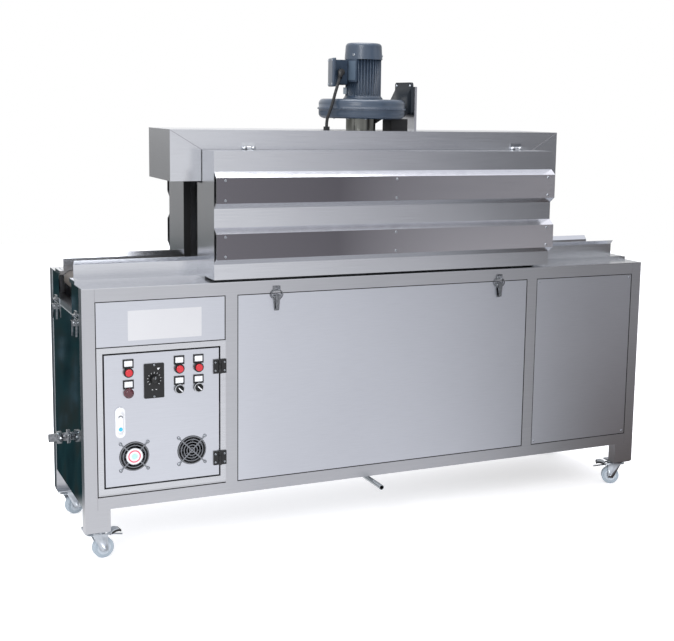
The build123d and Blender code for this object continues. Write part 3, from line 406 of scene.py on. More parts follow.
def build_finishes() -> dict:
    """Make every finish of the machine.

    Returns:
        Finish name to material.
    """
    finishes = [
        # Sheet brushed lengthwise: pale, with long soft streaks that stretch the light.
        BrushedSteel("brushed_stainless"),
        # The same sheet stood on end, so its streaks run upward.
        BrushedSteel("brushed_stainless_upright", grain=Grain.ALONG_Z, pale="#E8E8EC"),
        # Square tube with a duller grind: a shade darker than the sheets, so the frame reads as a frame.
        BrushedSteel("ground_stainless_tube", dark="#ABADB1", pale="#CBCCD0", rough_low=0.30, rough_high=0.40),
        # Flat covers: even and pale, they only pass on the broad tone of the room.
        BrushedSteel("matt_stainless_panel", dark="#C4C7CE", pale="#D6D9E0", rough_low=0.28, rough_high=0.36,
                     line_pitch_mm=2.4, line_length_mm=60.0),
        # Duct pipe: a polished tube with strong upright light and dark bands painted into its colour, a painted
        # reflection.
        BrushedSteel("pipe_steel_painted_reflection", grain=Grain.ALONG_Z, dark="#0C0E10", pale="#8C8D87", rough_low=0.10,
                     rough_high=0.22, line_pitch_mm=16.0, line_length_mm=500.0, cloud_pitch_mm=60.0),
        # End panels: a near mirror, as dark as whatever stands beside the machine.
        PlatedSteel("mirror_stainless", "#A0AAAD", "#ACB5B8", 0.03, 0.07, mottle_mm=160.0),
        # Raised strips: polished steel painted deep grey at the left and paler towards the right, a painted reflection
        # of a dark room at the left.
        GradedSteel("strip_steel_painted_reflection", "#6D6B70", "#E6E4E8", 0.20, 0.28, (-0.18, 0.60)),
        # Upward sloping edges of the strips: painted highlight, a bright line over each dark face.
        PlatedSteel("edge_steel_painted_highlight", "#E4E4E8", "#F0F0F3", 0.15, 0.25, mottle_mm=40.0),
        # Latches and inlet: chrome whose colour is painted dark, a painted reflection of dark surroundings, still with
        # small bright turns, so they stand out on the pale cover.
        PlatedSteel("dark_chrome_painted_reflection", "#34373B", "#A4A7AB", 0.10, 0.20, mottle_mm=7.0),
        # Rollers and pipes: clean, sharp highlights.
        PlatedSteel("polished_stainless", "#AEB4B6", "#C6CACC", 0.06, 0.12, mottle_mm=60.0),
        # Bare rating plate: almost white, flat and quiet.
        PlatedSteel("satin_aluminium_plate", "#E6E7EA", "#EBECEE", 0.42, 0.45, mottle_mm=80.0),
        # Ground welds: a thin line, slightly darker than the metal round it.
        PlatedSteel("weld_line", "#9A9A9E", "#B4B4B8", 0.35, 0.5, mottle_mm=3.0),
        # Screws, forks and plates: pale blue-grey with a fine mottle.
        PlatedSteel("zinc_plate", "#A9AFB6", "#CCD2D8", 0.25, 0.42),
        # Hinges and rings: bright and sharp.
        PlatedSteel("chrome_plate", "#BFC2C6", "#DADDE0", 0.08, 0.18),
        # Fan guards: thin grey wire that lets the black behind it rule.
        PlatedSteel("drawn_wire", "#777A7F", "#8F9297", 0.18, 0.28),
        # Motor and scroll: blue-grey with a faint gloss and a cast texture.
        Coating("blue_grey_enamel", "#2D3A49", "#3A4859", 0.30, 0.42, 3.0, 0.05, coat=0.2),
        # Outlet horn: the same paint, much deeper.
        Coating("dark_blue_enamel", "#101921", "#18222C", 0.48, 0.60, 3.0, 0.05),
        # Blank plate on the motor: a dull pale patch.
        Coating("pale_grey_plate", "#4A5968", "#566574", 0.40, 0.45, 2.0, 0.01),
        # Knobs, hinges, faceplate: black with a soft sheen.
        Coating("black_plastic", "#0C0D0F", "#131416", 0.32, 0.45, 1.2, 0.02),
        # Legends and labels: clean white.
        Coating("white_plastic", "#D8DADD", "#E8EAEC", 0.25, 0.35, 1.2, 0.01),
        # Hub label's ring and middle: two flat print colours.
        Coating("pink_print", "#E2435F", "#EE5A74", 0.4, 0.5, 1.2, 0.005),
        Coating("mint_print", "#A9D6CF", "#B9E0DA", 0.4, 0.5, 1.2, 0.005),
        # Push buttons: glossy red that catches a highlight.
        Coating("red_plastic", "#B8121F", "#CC1C2C", 0.14, 0.22, 2.0, 0.005, coat=0.5),
        # Unlit lamp: nearly black, red only where light enters.
        Coating("dark_red_lens", "#3A0A16", "#561424", 0.08, 0.14, 2.0, 0.005, coat=0.8),
        # Lock button: the one blue spot on the door.
        Coating("blue_plastic", "#2FA9C9", "#45BDD9", 0.2, 0.3, 2.0, 0.005),
        # Seals, cable, gaskets: dead black. The same black is painted shade in the panel gaps and on the rest block
        # under the scroll.
        Coating("black_rubber_and_painted_shade", "#08090A", "#111214", 0.50, 0.75, 1.0, 0.05),
        # Tyres: pale grey, slightly blue.
        Coating("grey_tyre", "#98A4AE", "#AEBAC3", 0.45, 0.6, 2.0, 0.03),
        # Wheel hubs: a touch paler than the tyres.
        Coating("pale_hub_plastic", "#B2BCC4", "#C6CED6", 0.3, 0.42, 2.0, 0.02),
        # Belt: dark brown-grey coated cloth, which stays in the shade of its guides; its dark tone is partly the
        # cloth's own colour and partly painted shade.
        Coating("belt_cloth_and_painted_shade", "#3E3934", "#524C45", 0.5, 0.65, 1.5, 0.05),
    ]
    return {finish.name: finish.material() for finish in finishes}


def linked(name: str, data: bpy.types.ID) -> Piece:
    """Make an object and link it to the scene.

    Args:
        name: The object's name.
        data: Its mesh, curve, light or camera.

    Returns:
        The object.
    """
    piece = bpy.data.objects.new(name, data)
    bpy.context.scene.collection.objects.link(piece)
    return piece


def softened(name: str, shape: Shape) -> Piece:
    """Turn a bmesh into a linked object with soft shading on its round stretches.

    Args:
        name: The piece's name.
        shape: Its mesh, which is freed.

    Returns:
        The object.
    """
    mesh = bpy.data.meshes.new(name)
    shape.to_mesh(mesh)
    shape.free()
    mesh.shade_smooth()
    mesh.set_sharp_from_angle(angle=SMOOTH_ANGLE)
    return linked(name, mesh)


class Draft:
    """A mesh in the making. Each method adds closed solids to it and returns the draft."""

    def __init__(self) -> None:
        """Start with an empty mesh."""
        self.shape = bmesh.new()

    def slab(self, outline: Iterable[Vector], depth: Vector) -> "Draft":
        """Add a closed plate.

        Args:
            outline: Corners of one side, in order.
            depth: From that side to the other.

        Returns:
            The draft.
        """
        near = [self.shape.verts.new(corner) for corner in outline]
        far = [self.shape.verts.new(corner.co + depth) for corner in near]
        self.shape.faces.new(near)
        self.shape.faces.new(far[::-1])
        for i, j in enumerate((*range(1, len(near)), 0)):
            self.shape.faces.new((near[i], far[i], far[j], near[j]))
        return self

    def turned(self, centre: Vector, axis: Vector, across: Vector, profile: Sequence[tuple], hollow: bool,
               steps: int = 40) -> "Draft":
        """Add a solid turned about a level axis.

        Args:
            centre: Middle of its back.
            axis: Unit vector from its back to its face.
            across: Level unit vector square to the axis.
            profile: Pairs of radius and distance along the axis, in order.
            hollow: Whether the profile is closed, as a ring's is, and not ended by flat faces.
            steps: Segments round it.

        Returns:
            The draft.
        """
        rings = [[self.shape.verts.new(centre + axis * rise + across * (radius * math.cos(math.tau * k / steps))
                                       + UP * (radius * math.sin(math.tau * k / steps))) for k in range(steps)]
                 for radius, rise in profile]
        pairs = list(zip(rings, rings[1:]))
        if hollow:
            pairs.append((rings[-1], rings[0]))
        else:
            self.shape.faces.new(rings[0])
            self.shape.faces.new(rings[-1])
        for near, far in pairs:
            for k in range(steps):
                m = (k + 1) % steps
                self.shape.faces.new((near[k], near[m], far[m], far[k]))
        return self

    def plate(self, centre: Vector, outline: Iterable[tuple], depth: float, turn: float = 0.0) -> "Draft":
        """Add a plate that faces the front.

        Args:
            centre: Middle of the plate's back.
            outline: Its corners across and up, from the middle.
            depth: Its thickness towards the front.
            turn: How far it is turned in its own plane, in radians.

        Returns:
            The draft.
        """
        across = SIDEWAYS * math.cos(turn) + UP * math.sin(turn)
        along = UP * math.cos(turn) - SIDEWAYS * math.sin(turn)
        return self.slab([centre + across * u + along * v for u, v in outline], FORWARD * depth)

    def rings(self, centres: Iterable[Vector], inner: float, outer: float, depth: float, steps: int = 40) -> "Draft":
        """Add flat rings, or discs with a bevelled rim, that face the front.

        Args:
            centres: Middles of their backs.
            inner: Radius of their holes, or 0 for discs.
            outer: Outer radius.
            depth: Their thickness towards the front.
            steps: Segments round each.

        Returns:
            The draft.
        """
        bevel = depth * 0.4
        profile = [(outer, 0.0), (outer, depth - bevel), (outer - bevel, depth)]
        if inner > 0.0:
            profile += [(inner + bevel, depth), (inner, depth - bevel), (inner, 0.0)]
        for centre in centres:
            self.turned(centre, FORWARD, SIDEWAYS, profile, inner > 0.0, steps)
        return self


@dataclass
class Wardrobe:
    """The finishes, and the ways to dress pieces."""

    finishes: dict

    def dress(self, node: str, finish: str) -> None:
        """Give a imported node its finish.

        Args:
            node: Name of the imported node.
            finish: Name of the finish.
        """
        slots = frame["nodes"][node].data.materials
        slots.clear()
        slots.append(self.finishes[finish])

    def add(self, piece: Piece, finish: str, body: str, slot: str) -> None:
        """Dress a new piece, put it on its body and report it.

        Args:
            piece: The new object.
            finish: Name of the finish.
            body: The body that carries it.
            slot: Not used.
        """
        if not piece.data.materials:
            piece.data.materials.append(self.finishes[finish])
        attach(piece, body)
        log.info("piece %s on %s in %s", piece.name, body, finish)

    def make(self, name: str, draft: Draft, finish: str, body: str, slot: str) -> None:
        """Turn a draft into a dressed piece whose faces look outward.

        Args:
            name: The piece's name.
            draft: Its mesh, which is used up.
            finish: Name of the finish.
            body: The body that carries it.
            slot: The record's material slot.
        """
        bmesh.ops.remove_doubles(draft.shape, verts=draft.shape.verts, dist=MERGE_DISTANCE)
        bmesh.ops.recalc_face_normals(draft.shape, faces=draft.shape.faces)
        self.add(softened(name, draft.shape), finish, body, slot)

    def skin(self, node: str, name: str, finish: str, slot: str,
             keep: Optional[Callable[[bmesh.types.BMFace], bool]] = None) -> None:
        """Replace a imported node, or part of it, by a merged copy with soft shading on its round stretches.

        Args:
            node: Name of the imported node.
            name: Name of the copy.
            finish: Name of the finish.
            slot: The record's material slot.
            keep: Which faces the copy has, all of them if it isn't given.
        """
        shape = bmesh.new()
        shape.from_mesh(frame["nodes"][node].data)
        bmesh.ops.remove_doubles(shape, verts=shape.verts, dist=MERGE_DISTANCE)
        if keep is not None:
            dropped = [face for face in shape.faces if not keep(face)]
            bmesh.ops.delete(shape, geom=dropped, context="FACES")
        piece = softened(name, shape)
        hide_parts(node)
        self.add(piece, finish, frame["nodes"][node]["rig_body"], slot)


def rounded_outline(width: float, height: float, radius: float, steps: int = 6) -> list:
    """Corners of a rounded rectangle around the origin.

    Args:
        width: Size along the first direction.
        height: Size along the second direction.
        radius: Corner radius.
        steps: Points per corner, less one.

    Returns:
        Pairs of coordinates, in order.
    """
    points = []
    for number, (side, rise) in enumerate(((1, 1), (-1, 1), (-1, -1), (1, -1))):
        for step in range(steps + 1):
            angle = math.pi / 2 * (number + step / steps)
            points.append((side * (width / 2 - radius) + radius * math.cos(angle),
                           rise * (height / 2 - radius) + radius * math.sin(angle)))
    return points


def middle(node: str) -> Vector:
    """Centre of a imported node's box."""
    low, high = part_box(node)
    return (low + high) / 2


def front_of(node: str, rise: float = 0.0) -> Vector:
    """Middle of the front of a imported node's box.

    Args:
        node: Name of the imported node.
        rise: How far above the middle.

    Returns:
        The point.
    """
    place = middle(node)
    return Vector((place.x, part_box(node)[0].y, place.z + rise))


def compass(azimuth: float) -> tuple:
    """Two level unit vectors: outward at an azimuth, and square to that."""
    out = Vector((math.cos(azimuth), math.sin(azimuth), 0.0))
    return out, Vector((-out.y, out.x, 0.0))


class Head(Enum):
    """Radius of a screw's head in millimetres, by what it holds."""

    LEAF = 3.2
    PANEL = 3.4
    CASING = 3.6
    WALL = 4.2
    FLANGE = 4.4


@dataclass
class ScrewHeads:
    """Cross-recessed screw heads of one body, placed by a node tree."""

    body: str
    slot: str = "zinc"
    head_height: float = 0.45
    head_sides: int = 18
    head_taper: float = 0.72
    recess_length: float = 1.05
    recess_width: float = 0.2
    recess_depth: float = 0.08
    seed: int = 5
    leaf_inset: float = 6.0 * MM
    leaf_thickness: float = 5.0 * MM
    leaf_steps: tuple = (9.0 * MM, 35.0 * MM)
    places: list = field(default_factory=list)

    def put(self, place: Sequence[float], facing: Sequence[float], head: Head) -> None:
        """Note one screw.

        Args:
            place: Its seat, in metres.
            facing: Euler turn that takes +Z to the way it faces.
            head: Size of its head.
        """
        self.places.append((Vector(place), Vector(facing), head.value * MM))

    def put_on_leaves(self, node: str, x: float, face: float) -> None:
        """Note the four screws of one side of two hinges.

        Args:
            node: The hinges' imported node.
            x: Where the screws stand along X.
            face: Where the sheet under the leaves is along Y.
        """
        low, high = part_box(node)
        near, far = self.leaf_steps
        for z in (low.z + near, low.z + far, high.z - near, high.z - far):
            self.put((x, face - self.leaf_thickness, z), TOWARDS_FRONT, Head.LEAF)

    def tree(self) -> bpy.types.NodeTree:
        """Node tree that puts a head on each point and turns it at random about its axis.

        Returns:
            The tree.
        """
        tree = bpy.data.node_groups.new("screw_heads", "GeometryNodeTree")
        sockets = (
            ("Points", "NodeSocketGeometry", None), ("Head Height", "NodeSocketFloat", self.head_height),
            ("Recess Width", "NodeSocketFloat", self.recess_width), ("Seed", "NodeSocketInt", self.seed),
            ("Head Finish", "NodeSocketMaterial", None), ("Recess Finish", "NodeSocketMaterial", None),
        )
        for name, kind, value in sockets:
            socket = tree.interface.new_socket(name, in_out="INPUT", socket_type=kind)
            if value is not None:
                socket.default_value = value
        tree.interface.new_socket("Heads", in_out="OUTPUT", socket_type="NodeSocketGeometry")
        given = add_node(tree, "NodeGroupInput").outputs
        cone = add_node(tree, "GeometryNodeMeshCone", {
            "Vertices": self.head_sides, "Radius Top": self.head_taper, "Radius Bottom": 1.0},
            {"Depth": given["Head Height"]})
        bars = []
        for turn in (0.0, math.pi / 2):
            size = add_node(tree, "ShaderNodeCombineXYZ", {"X": self.recess_length, "Z": self.recess_depth},
                            {"Y": given["Recess Width"]})
            bar = add_node(tree, "GeometryNodeMeshCube", links={"Size": size.outputs[0]})
            lift = add_node(tree, "ShaderNodeCombineXYZ", links={"Z": given["Head Height"]})
            moved = add_node(tree, "GeometryNodeTransform", {"Rotation": (0.0, 0.0, turn)},
                             {"Geometry": bar.outputs["Mesh"], "Translation": lift.outputs[0]})
            bars.append(moved)
        recess = add_node(tree, "GeometryNodeJoinGeometry")
        for bar in bars:
            tree.links.new(bar.outputs[0], recess.inputs[0])
        marked = add_node(tree, "GeometryNodeStoreNamedAttribute", {"Name": "recess", "Value": True},
                          {"Geometry": recess.outputs[0]}, data_type="BOOLEAN", domain="FACE")
        head = add_node(tree, "GeometryNodeJoinGeometry")
        tree.links.new(cone.outputs["Mesh"], head.inputs[0])
        tree.links.new(marked.outputs[0], head.inputs[0])
        facing = add_node(tree, "GeometryNodeInputNamedAttribute", {"Name": "facing"}, data_type="FLOAT_VECTOR")
        radius = add_node(tree, "GeometryNodeInputNamedAttribute", {"Name": "radius"}, data_type="FLOAT")
        base_turn = add_node(tree, "FunctionNodeEulerToRotation", links={0: facing.outputs[0]})
        spin = add_node(tree, "FunctionNodeRandomValue", links={"Seed": given["Seed"]}, data_type="FLOAT")
        spin.inputs[3].default_value = math.pi
        own_turn = add_node(tree, "FunctionNodeAxisAngleToRotation", {"Axis": (0.0, 0.0, 1.0)},
                            {"Angle": spin.outputs[1]})
        turn = add_node(tree, "FunctionNodeRotateRotation", links={0: base_turn.outputs[0], 1: own_turn.outputs[0]},
                        rotation_space="LOCAL")
        spots = add_node(tree, "GeometryNodeInstanceOnPoints",
                         links={"Points": given["Points"], "Instance": head.outputs[0], "Rotation": turn.outputs[0],
                                "Scale": radius.outputs[0]})
        real = add_node(tree, "GeometryNodeRealizeInstances", links={0: spots.outputs[0]})
        dressed = add_node(tree, "GeometryNodeSetMaterial",
                           links={"Geometry": real.outputs[0], "Material": given["Head Finish"]})
        where = add_node(tree, "GeometryNodeInputNamedAttribute", {"Name": "recess"}, data_type="BOOLEAN")
        done = add_node(tree, "GeometryNodeSetMaterial",
                        links={"Geometry": dressed.outputs[0], "Material": given["Recess Finish"],
                               "Selection": where.outputs[0]})
        result = add_node(tree, "NodeGroupOutput")
        tree.links.new(done.outputs[0], result.inputs[0])
        return tree

    def build(self, wardrobe: Wardrobe) -> None:
        """Turn the noted places into one mesh of screw heads.

        Args:
            wardrobe: The finishes.
        """
        seats = bpy.data.meshes.new("screw_seats")
        seats.from_pydata([place for place, _, _ in self.places], [], [])
        facing = seats.attributes.new("facing", "FLOAT_VECTOR", "POINT")
        facing.data.foreach_set("vector", [value for _, turn, _ in self.places for value in turn])
        radius = seats.attributes.new("radius", "FLOAT", "POINT")
        radius.data.foreach_set("value", [value for _, _, value in self.places])
        source = linked("screw_seats", seats)
        modifier = source.modifiers.new("screws", "NODES")
        modifier.node_group = self.tree()
        values = {"Head Height": self.head_height, "Recess Width": self.recess_width, "Seed": self.seed,
                  "Head Finish": wardrobe.finishes["zinc_plate"], "Recess Finish": wardrobe.finishes["black_plastic"]}
        for socket in modifier.node_group.interface.items_tree:
            if socket.in_out == "INPUT" and socket.name in values:
                modifier[socket.identifier] = values[socket.name]
        mesh = bpy.data.meshes.new_from_object(source.evaluated_get(bpy.context.evaluated_depsgraph_get()))
        mesh.name = "screws_on_" + self.body
        source.modifiers.remove(modifier)
        bpy.data.objects.remove(source)
        wardrobe.add(linked(mesh.name, mesh), "zinc_plate", self.body, self.slot)


@dataclass
class MotorCable:
    """The motor's cable, from the elbow gland under the terminal box to the gland on the hood's roof."""

    radius: float = 5.0 * MM
    length: float = 0.174
    start_mm: tuple = (-79.06, -10.04, 1463.2)
    steps_mm: tuple = (
        (0.0, 0.0, 0.0), (-8.3, -8.3, -16.2), (-18.0, -18.0, -35.0), (-28.0, -27.0, -54.0), (-36.0, -34.0, -74.0),
        (-44.0, -37.0, -96.0), (-52.0, -36.0, -119.0), (-59.0, -33.0, -140.0), (-59.0, -33.0, -160.2),
    )

    def build(self, wardrobe: Wardrobe) -> None:
        """Args:
            wardrobe: The finishes.
        """
        route = [(Vector(self.start_mm) + Vector(step)) * MM for step in self.steps_mm]
        curve = bpy.data.curves.new("cable_to_motor", "CURVE")
        curve.dimensions = "3D"
        spline = curve.splines.new("NURBS")
        spline.points.add(len(route) - 1)
        for point, place in zip(spline.points, route):
            point.co = (*place, 1.0)
        spline.order_u = 3
        spline.use_endpoint_u = True
        curve.bevel_depth = self.radius
        curve.bevel_resolution = 6
        curve.resolution_u = 24
        curve.use_fill_caps = True
        piece = linked("cable_to_motor", curve)
        wardrobe.add(piece, "black_rubber_and_painted_shade", "base", "cable")
        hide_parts("motor_cable")
        tuple(route[0])


NODE_FINISH = {
    "brushed_stainless": (
        "deck_plates", "rear_wall_liner", "side_guides", "tunnel_door_liner", "bottom_sheet", "control_cabinet",
        "conveyor_bed", "hood", "tunnel_door", "rear_wall",
    ),
    "ground_stainless_tube": ("front_frame", "rear_frame", "cross_rails"),
    "matt_stainless_panel": ("bay_panels", "control_door"),
    "mirror_stainless": ("end_panels",),
    "black_plastic": ("control_plates",),
    # Belt: dark cloth colour, partly painted shade.
    "belt_cloth_and_painted_shade": ("conveyor_belt",),
    "black_rubber_and_painted_shade": ("front_entry_seals", "rear_entry_seals"),
}
CORNERS = ("front_left", "front_right", "rear_left", "rear_right")
SOFT_NODES = (
    ("polished_stainless", "stainless", ("nose_rollers", "drain_pipe")),
    # Duct: upright bands of painted reflection.
    ("pipe_steel_painted_reflection", "stainless", ("blower_duct",)),
    ("drawn_wire", "chrome", ("fan_guards",)),
    ("chrome_plate", "chrome", ("hood_hinges", "tunnel_door_hinges")),
    # Latches and inlet: chrome painted dark as a painted reflection.
    ("dark_chrome_painted_reflection", "chrome", ("toggle_latches",)),
    ("dark_chrome_painted_reflection", "stainless", ("steam_inlet",)),
    ("zinc_plate", "zinc", ("caster_plates", *("fork_" + corner for corner in CORNERS))),
    ("blue_grey_enamel", "enamel", ("motor_body", "motor_cowl", "terminal_box")),
    ("black_plastic", "black_plastic", (
        "cabinet_hinges", "control_door_hinges", "button_bezels", "speed_knob", "selector_1", "selector_2",
        "cable_glands", "cabinet_fans")),
    ("white_plastic", "white_plastic", ("panel_lock",)),
    ("red_plastic", "red", ("red_button_1", "red_button_2", "red_button_3")),
    ("dark_red_lens", "lamp", ("pilot_lamp",)),
    ("grey_tyre", "wheel", tuple("wheel_" + corner for corner in CORNERS)),
)


@dataclass
class ControlPanel:
    """Small pieces on the cabinet door: legend inserts, dial marks, pointers, the lock's button and the hub label."""

    body: str = "cabinet_door"
    insert_size: tuple = (24.0 * MM, 17.0 * MM)
    insert_lift: float = 26.5 * MM
    legend_thickness: float = 3.0 * MM
    plate_thickness: float = 4.0 * MM
    bezel_depth: float = 8.0 * MM
    layer: float = 0.4 * MM
    pointer_size: tuple = (17.0 * MM, 3.2 * MM)
    tick_ring: float = 20.0 * MM
    tick_count: int = 11
    tick_span: float = math.radians(270)
    tick_lengths: tuple = (4.6 * MM, 3.2 * MM)
    tick_width: float = 1.3 * MM
    arrow_place: tuple = (13.0 * MM, 0.0, 31.0 * MM)
    arrow: tuple = ((4.5 * MM, 3.0 * MM), (-4.5 * MM, 3.0 * MM), (-1.0 * MM, -4.0 * MM))
    bar_places: tuple = ((-6.0 * MM, 0.0, -32.0 * MM), (6.0 * MM, 0.0, -32.0 * MM))
    bar_size: tuple = (3.4 * MM, 2.0 * MM)
    knob_mark_size: tuple = (1.6 * MM, 8.0 * MM)
    knob_mark_rise: float = 6.5 * MM
    selector_ring: tuple = (12.4 * MM, 14.7 * MM, 0.9 * MM)
    button_rise: float = -19.0 * MM
    button_size: tuple = (6.0 * MM, 1.2 * MM)
    arch_rise: float = 16.0 * MM
    arch_radii: tuple = (7.4 * MM, 4.4 * MM)
    arch_steps: int = 12
    gasket: tuple = (37.8 * MM, 45.4 * MM, 0.7 * MM, 56)
    label_sink: float = 0.6 * MM
    label_thickness: float = 0.8 * MM
    print_thickness: float = 0.3 * MM
    label_radii: tuple = (25.0 * MM, 15.5 * MM, 19.0 * MM, 9.0 * MM)
    guard_lug: float = 5.0 * MM
    speed_plate_screws: tuple = (5.0 * MM, 101.0 * MM)

    def front(self, x: float, z: float, out: float = 0.0) -> Vector:
        """Point at a distance in front of the door's skin."""
        return Vector((x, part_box("control_door")[0].y - out, z))

    def inserts(self) -> Draft:
        """White inserts of the six legend holders.

        Returns:
            Their draft.
        """
        draft = Draft()
        for row in ("red_button_1", "selector_1"):
            for button in ("red_button_1", "red_button_2", "red_button_3"):
                centre = self.front(middle(button).x, middle(row).z + self.insert_lift, self.legend_thickness)
                draft.plate(centre, rounded_outline(*self.insert_size, 1.0 * MM), self.layer)
        return draft

    def dial_marks(self) -> Draft:
        """Ticks round the speed knob, a small triangle at the upper right and two short bars below.

        Returns:
            Their draft.
        """
        draft = Draft()
        thickness = self.layer / 2
        knob = self.front(middle("speed_knob").x, middle("speed_knob").z, self.plate_thickness)
        for number in range(self.tick_count):
            angle = math.pi / 2 + self.tick_span * (number / (self.tick_count - 1) - 0.5)
            outline = rounded_outline(self.tick_lengths[number % 5 != 0], self.tick_width, 0.3 * MM, 2)
            centre = knob + (SIDEWAYS * math.cos(angle) + UP * math.sin(angle)) * self.tick_ring
            draft.plate(centre, outline, thickness, angle)
        draft.plate(knob + Vector(self.arrow_place), self.arrow, thickness)
        for place in self.bar_places:
            draft.plate(knob + Vector(place), rounded_outline(*self.bar_size, 0.5 * MM, 2), thickness)
        return draft

    def arch(self) -> list:
        """Outline of the grey arch where the lock's lever is gripped.

        Returns:
            Its corners across and up.
        """
        angles = [math.pi * k / self.arch_steps for k in range(self.arch_steps + 1)]
        outer, inner = self.arch_radii
        return ([(outer * math.cos(angle), outer * math.sin(angle)) for angle in angles]
                + [(inner * math.cos(angle), inner * math.sin(angle)) for angle in reversed(angles)])

    def fan_centres(self) -> list:
        """Middle of the left and of the right fan guard, on the door's skin.

        Returns:
            The two points.
        """
        low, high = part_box("fan_guards")
        span = (high.z - low.z) / 2
        return [self.front(x, low.z + span) for x in (low.x + span, high.x - span)]

    def screws(self, heads: ScrewHeads) -> None:
        """Note the screws of the fan guards, the speed control and the door's hinge leaves.

        Args:
            heads: The door's screws.
        """
        low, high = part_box("fan_guards")
        lug = (high.z - low.z) / 2 - self.guard_lug
        for centre in self.fan_centres():
            for side in (-1, 1):
                for rise in (-1, 1):
                    heads.put((centre.x + side * lug, low.y, centre.z + rise * lug), TOWARDS_FRONT, Head.PANEL)
        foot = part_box("control_plates")[0].z
        for rise in self.speed_plate_screws:
            heads.put(self.front(middle("speed_knob").x, foot + rise, self.plate_thickness), TOWARDS_FRONT, Head.LEAF)
        heads.put_on_leaves("control_door_hinges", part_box("control_door_hinges")[0].x + heads.leaf_inset,
                            self.front(0.0, 0.0).y)

    def pieces(self) -> Iterable[tuple]:
        """Go through the small pieces, apart from the screws.

        Returns:
            Name, draft, finish, body and slot of each, in turn.
        """
        door, white, label = self.body, "white_plastic", self.fan_centres()[0]
        label.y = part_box("fan_guards")[0].y + self.label_sink
        seat = label + FORWARD * self.label_thickness
        disc, inner, outer, hub = self.label_radii
        selectors = [self.front(middle(node).x, middle(node).z, self.bezel_depth)
                     for node in ("selector_1", "selector_2")]
        mark = rounded_outline(*self.knob_mark_size, 0.6 * MM, 3)
        pointer = rounded_outline(*self.pointer_size, 1.2 * MM)
        yield "legend_inserts", self.inserts(), white, door, "legend"
        yield "speed_dial_marks", self.dial_marks(), white, door, "legend"
        yield ("speed_knob_mark", Draft().plate(front_of("speed_knob", self.knob_mark_rise), mark, self.layer / 2),
               "zinc_plate", "speed_dial", "legend")
        for number in "12":
            yield ("selector_pointer_" + number,
                   Draft().plate(front_of("selector_" + number), pointer, self.layer, -math.pi / 4),
                   white, "switch_" + number, "legend")
        yield "selector_rings", Draft().rings(selectors, *self.selector_ring), "chrome_plate", door, "chrome"
        yield ("lock_button", Draft().rings([front_of("panel_lock", self.button_rise)], 0.0, *self.button_size),
               "blue_plastic", door, white)
        yield ("lock_arch", Draft().plate(front_of("panel_lock", self.arch_rise), self.arch(), self.layer * 2),
               "drawn_wire", door, white)
        yield "fan_gaskets", Draft().rings(self.fan_centres(), *self.gasket), "black_rubber_and_painted_shade", door, "black_plastic"
        yield "fan_hub_disc", Draft().rings([label], 0.0, disc, self.label_thickness), white, door, white
        yield "fan_hub_ring", Draft().rings([seat], inner, outer, self.print_thickness), "pink_print", door, white
        yield "fan_hub_centre", Draft().rings([seat], 0.0, hub, self.print_thickness), "mint_print", door, white

    def build(self, wardrobe: Wardrobe) -> None:
        """Make and dress the pieces.

        Args:
            wardrobe: The finishes.
        """
        for piece in self.pieces():
            wardrobe.make(*piece)
        heads = ScrewHeads(self.body)
        self.screws(heads)
        heads.build(wardrobe)


@dataclass
class TunnelWalls:
    """Raised strips on the tunnel's walls, with their screws."""

    screw_columns: tuple = (28.0 * MM, 600.0 * MM, 1172.0 * MM)
    screw_rows: tuple = (26.0 * MM, 86.0 * MM)
    rib_height: float = 112.0 * MM
    rear_sink: float = 2.1 * MM
    upright: float = 0.99
    rising: float = 0.3

    def strip(self, node: str, name: str, wardrobe: Wardrobe) -> None:
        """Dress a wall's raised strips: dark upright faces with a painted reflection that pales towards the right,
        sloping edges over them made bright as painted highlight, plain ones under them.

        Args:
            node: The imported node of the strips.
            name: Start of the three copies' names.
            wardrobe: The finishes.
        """
        for part, finish, keep in (
            ("_faces", "strip_steel_painted_reflection", lambda way: abs(way.y) > self.upright),
            # Upward sloping edges: painted highlight, brighter than the downward ones.
            ("_upper_edges", "edge_steel_painted_highlight", lambda way: abs(way.y) <= self.upright and way.z > self.rising),
            ("_lower_edges", "brushed_stainless", lambda way: abs(way.y) <= self.upright and way.z <= self.rising),
        ):
            wardrobe.skin(node, name + part, finish, "stainless", lambda face: keep(face.normal))

    def screws(self, node: str, facing: Sequence[float], heads: ScrewHeads) -> None:
        """Note the screws on a wall's raised strips.

        Args:
            node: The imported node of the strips.
            facing: Way the screws face.
            heads: The body's screws.
        """
        low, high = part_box(node)
        outer = low.y if facing == TOWARDS_FRONT else high.y - self.rear_sink
        for bottom in (low.z, high.z - self.rib_height):
            for rise in self.screw_rows:
                for place in self.screw_columns:
                    heads.put((low.x + place, outer, bottom + rise), facing, Head.WALL)

    def build(self, wardrobe: Wardrobe, fixed: ScrewHeads) -> None:
        """Make and dress the pieces.

        Args:
            wardrobe: The finishes.
            fixed: Screws of the fixed body.
        """
        self.strip("tunnel_door_ribs", "door_strip", wardrobe)
        self.strip("rear_wall_ribs", "wall_strip", wardrobe)
        heads = ScrewHeads("lift_door")
        self.screws("tunnel_door_ribs", TOWARDS_FRONT, heads)
        self.screws("rear_wall_ribs", TOWARDS_REAR, fixed)
        heads.build(wardrobe)


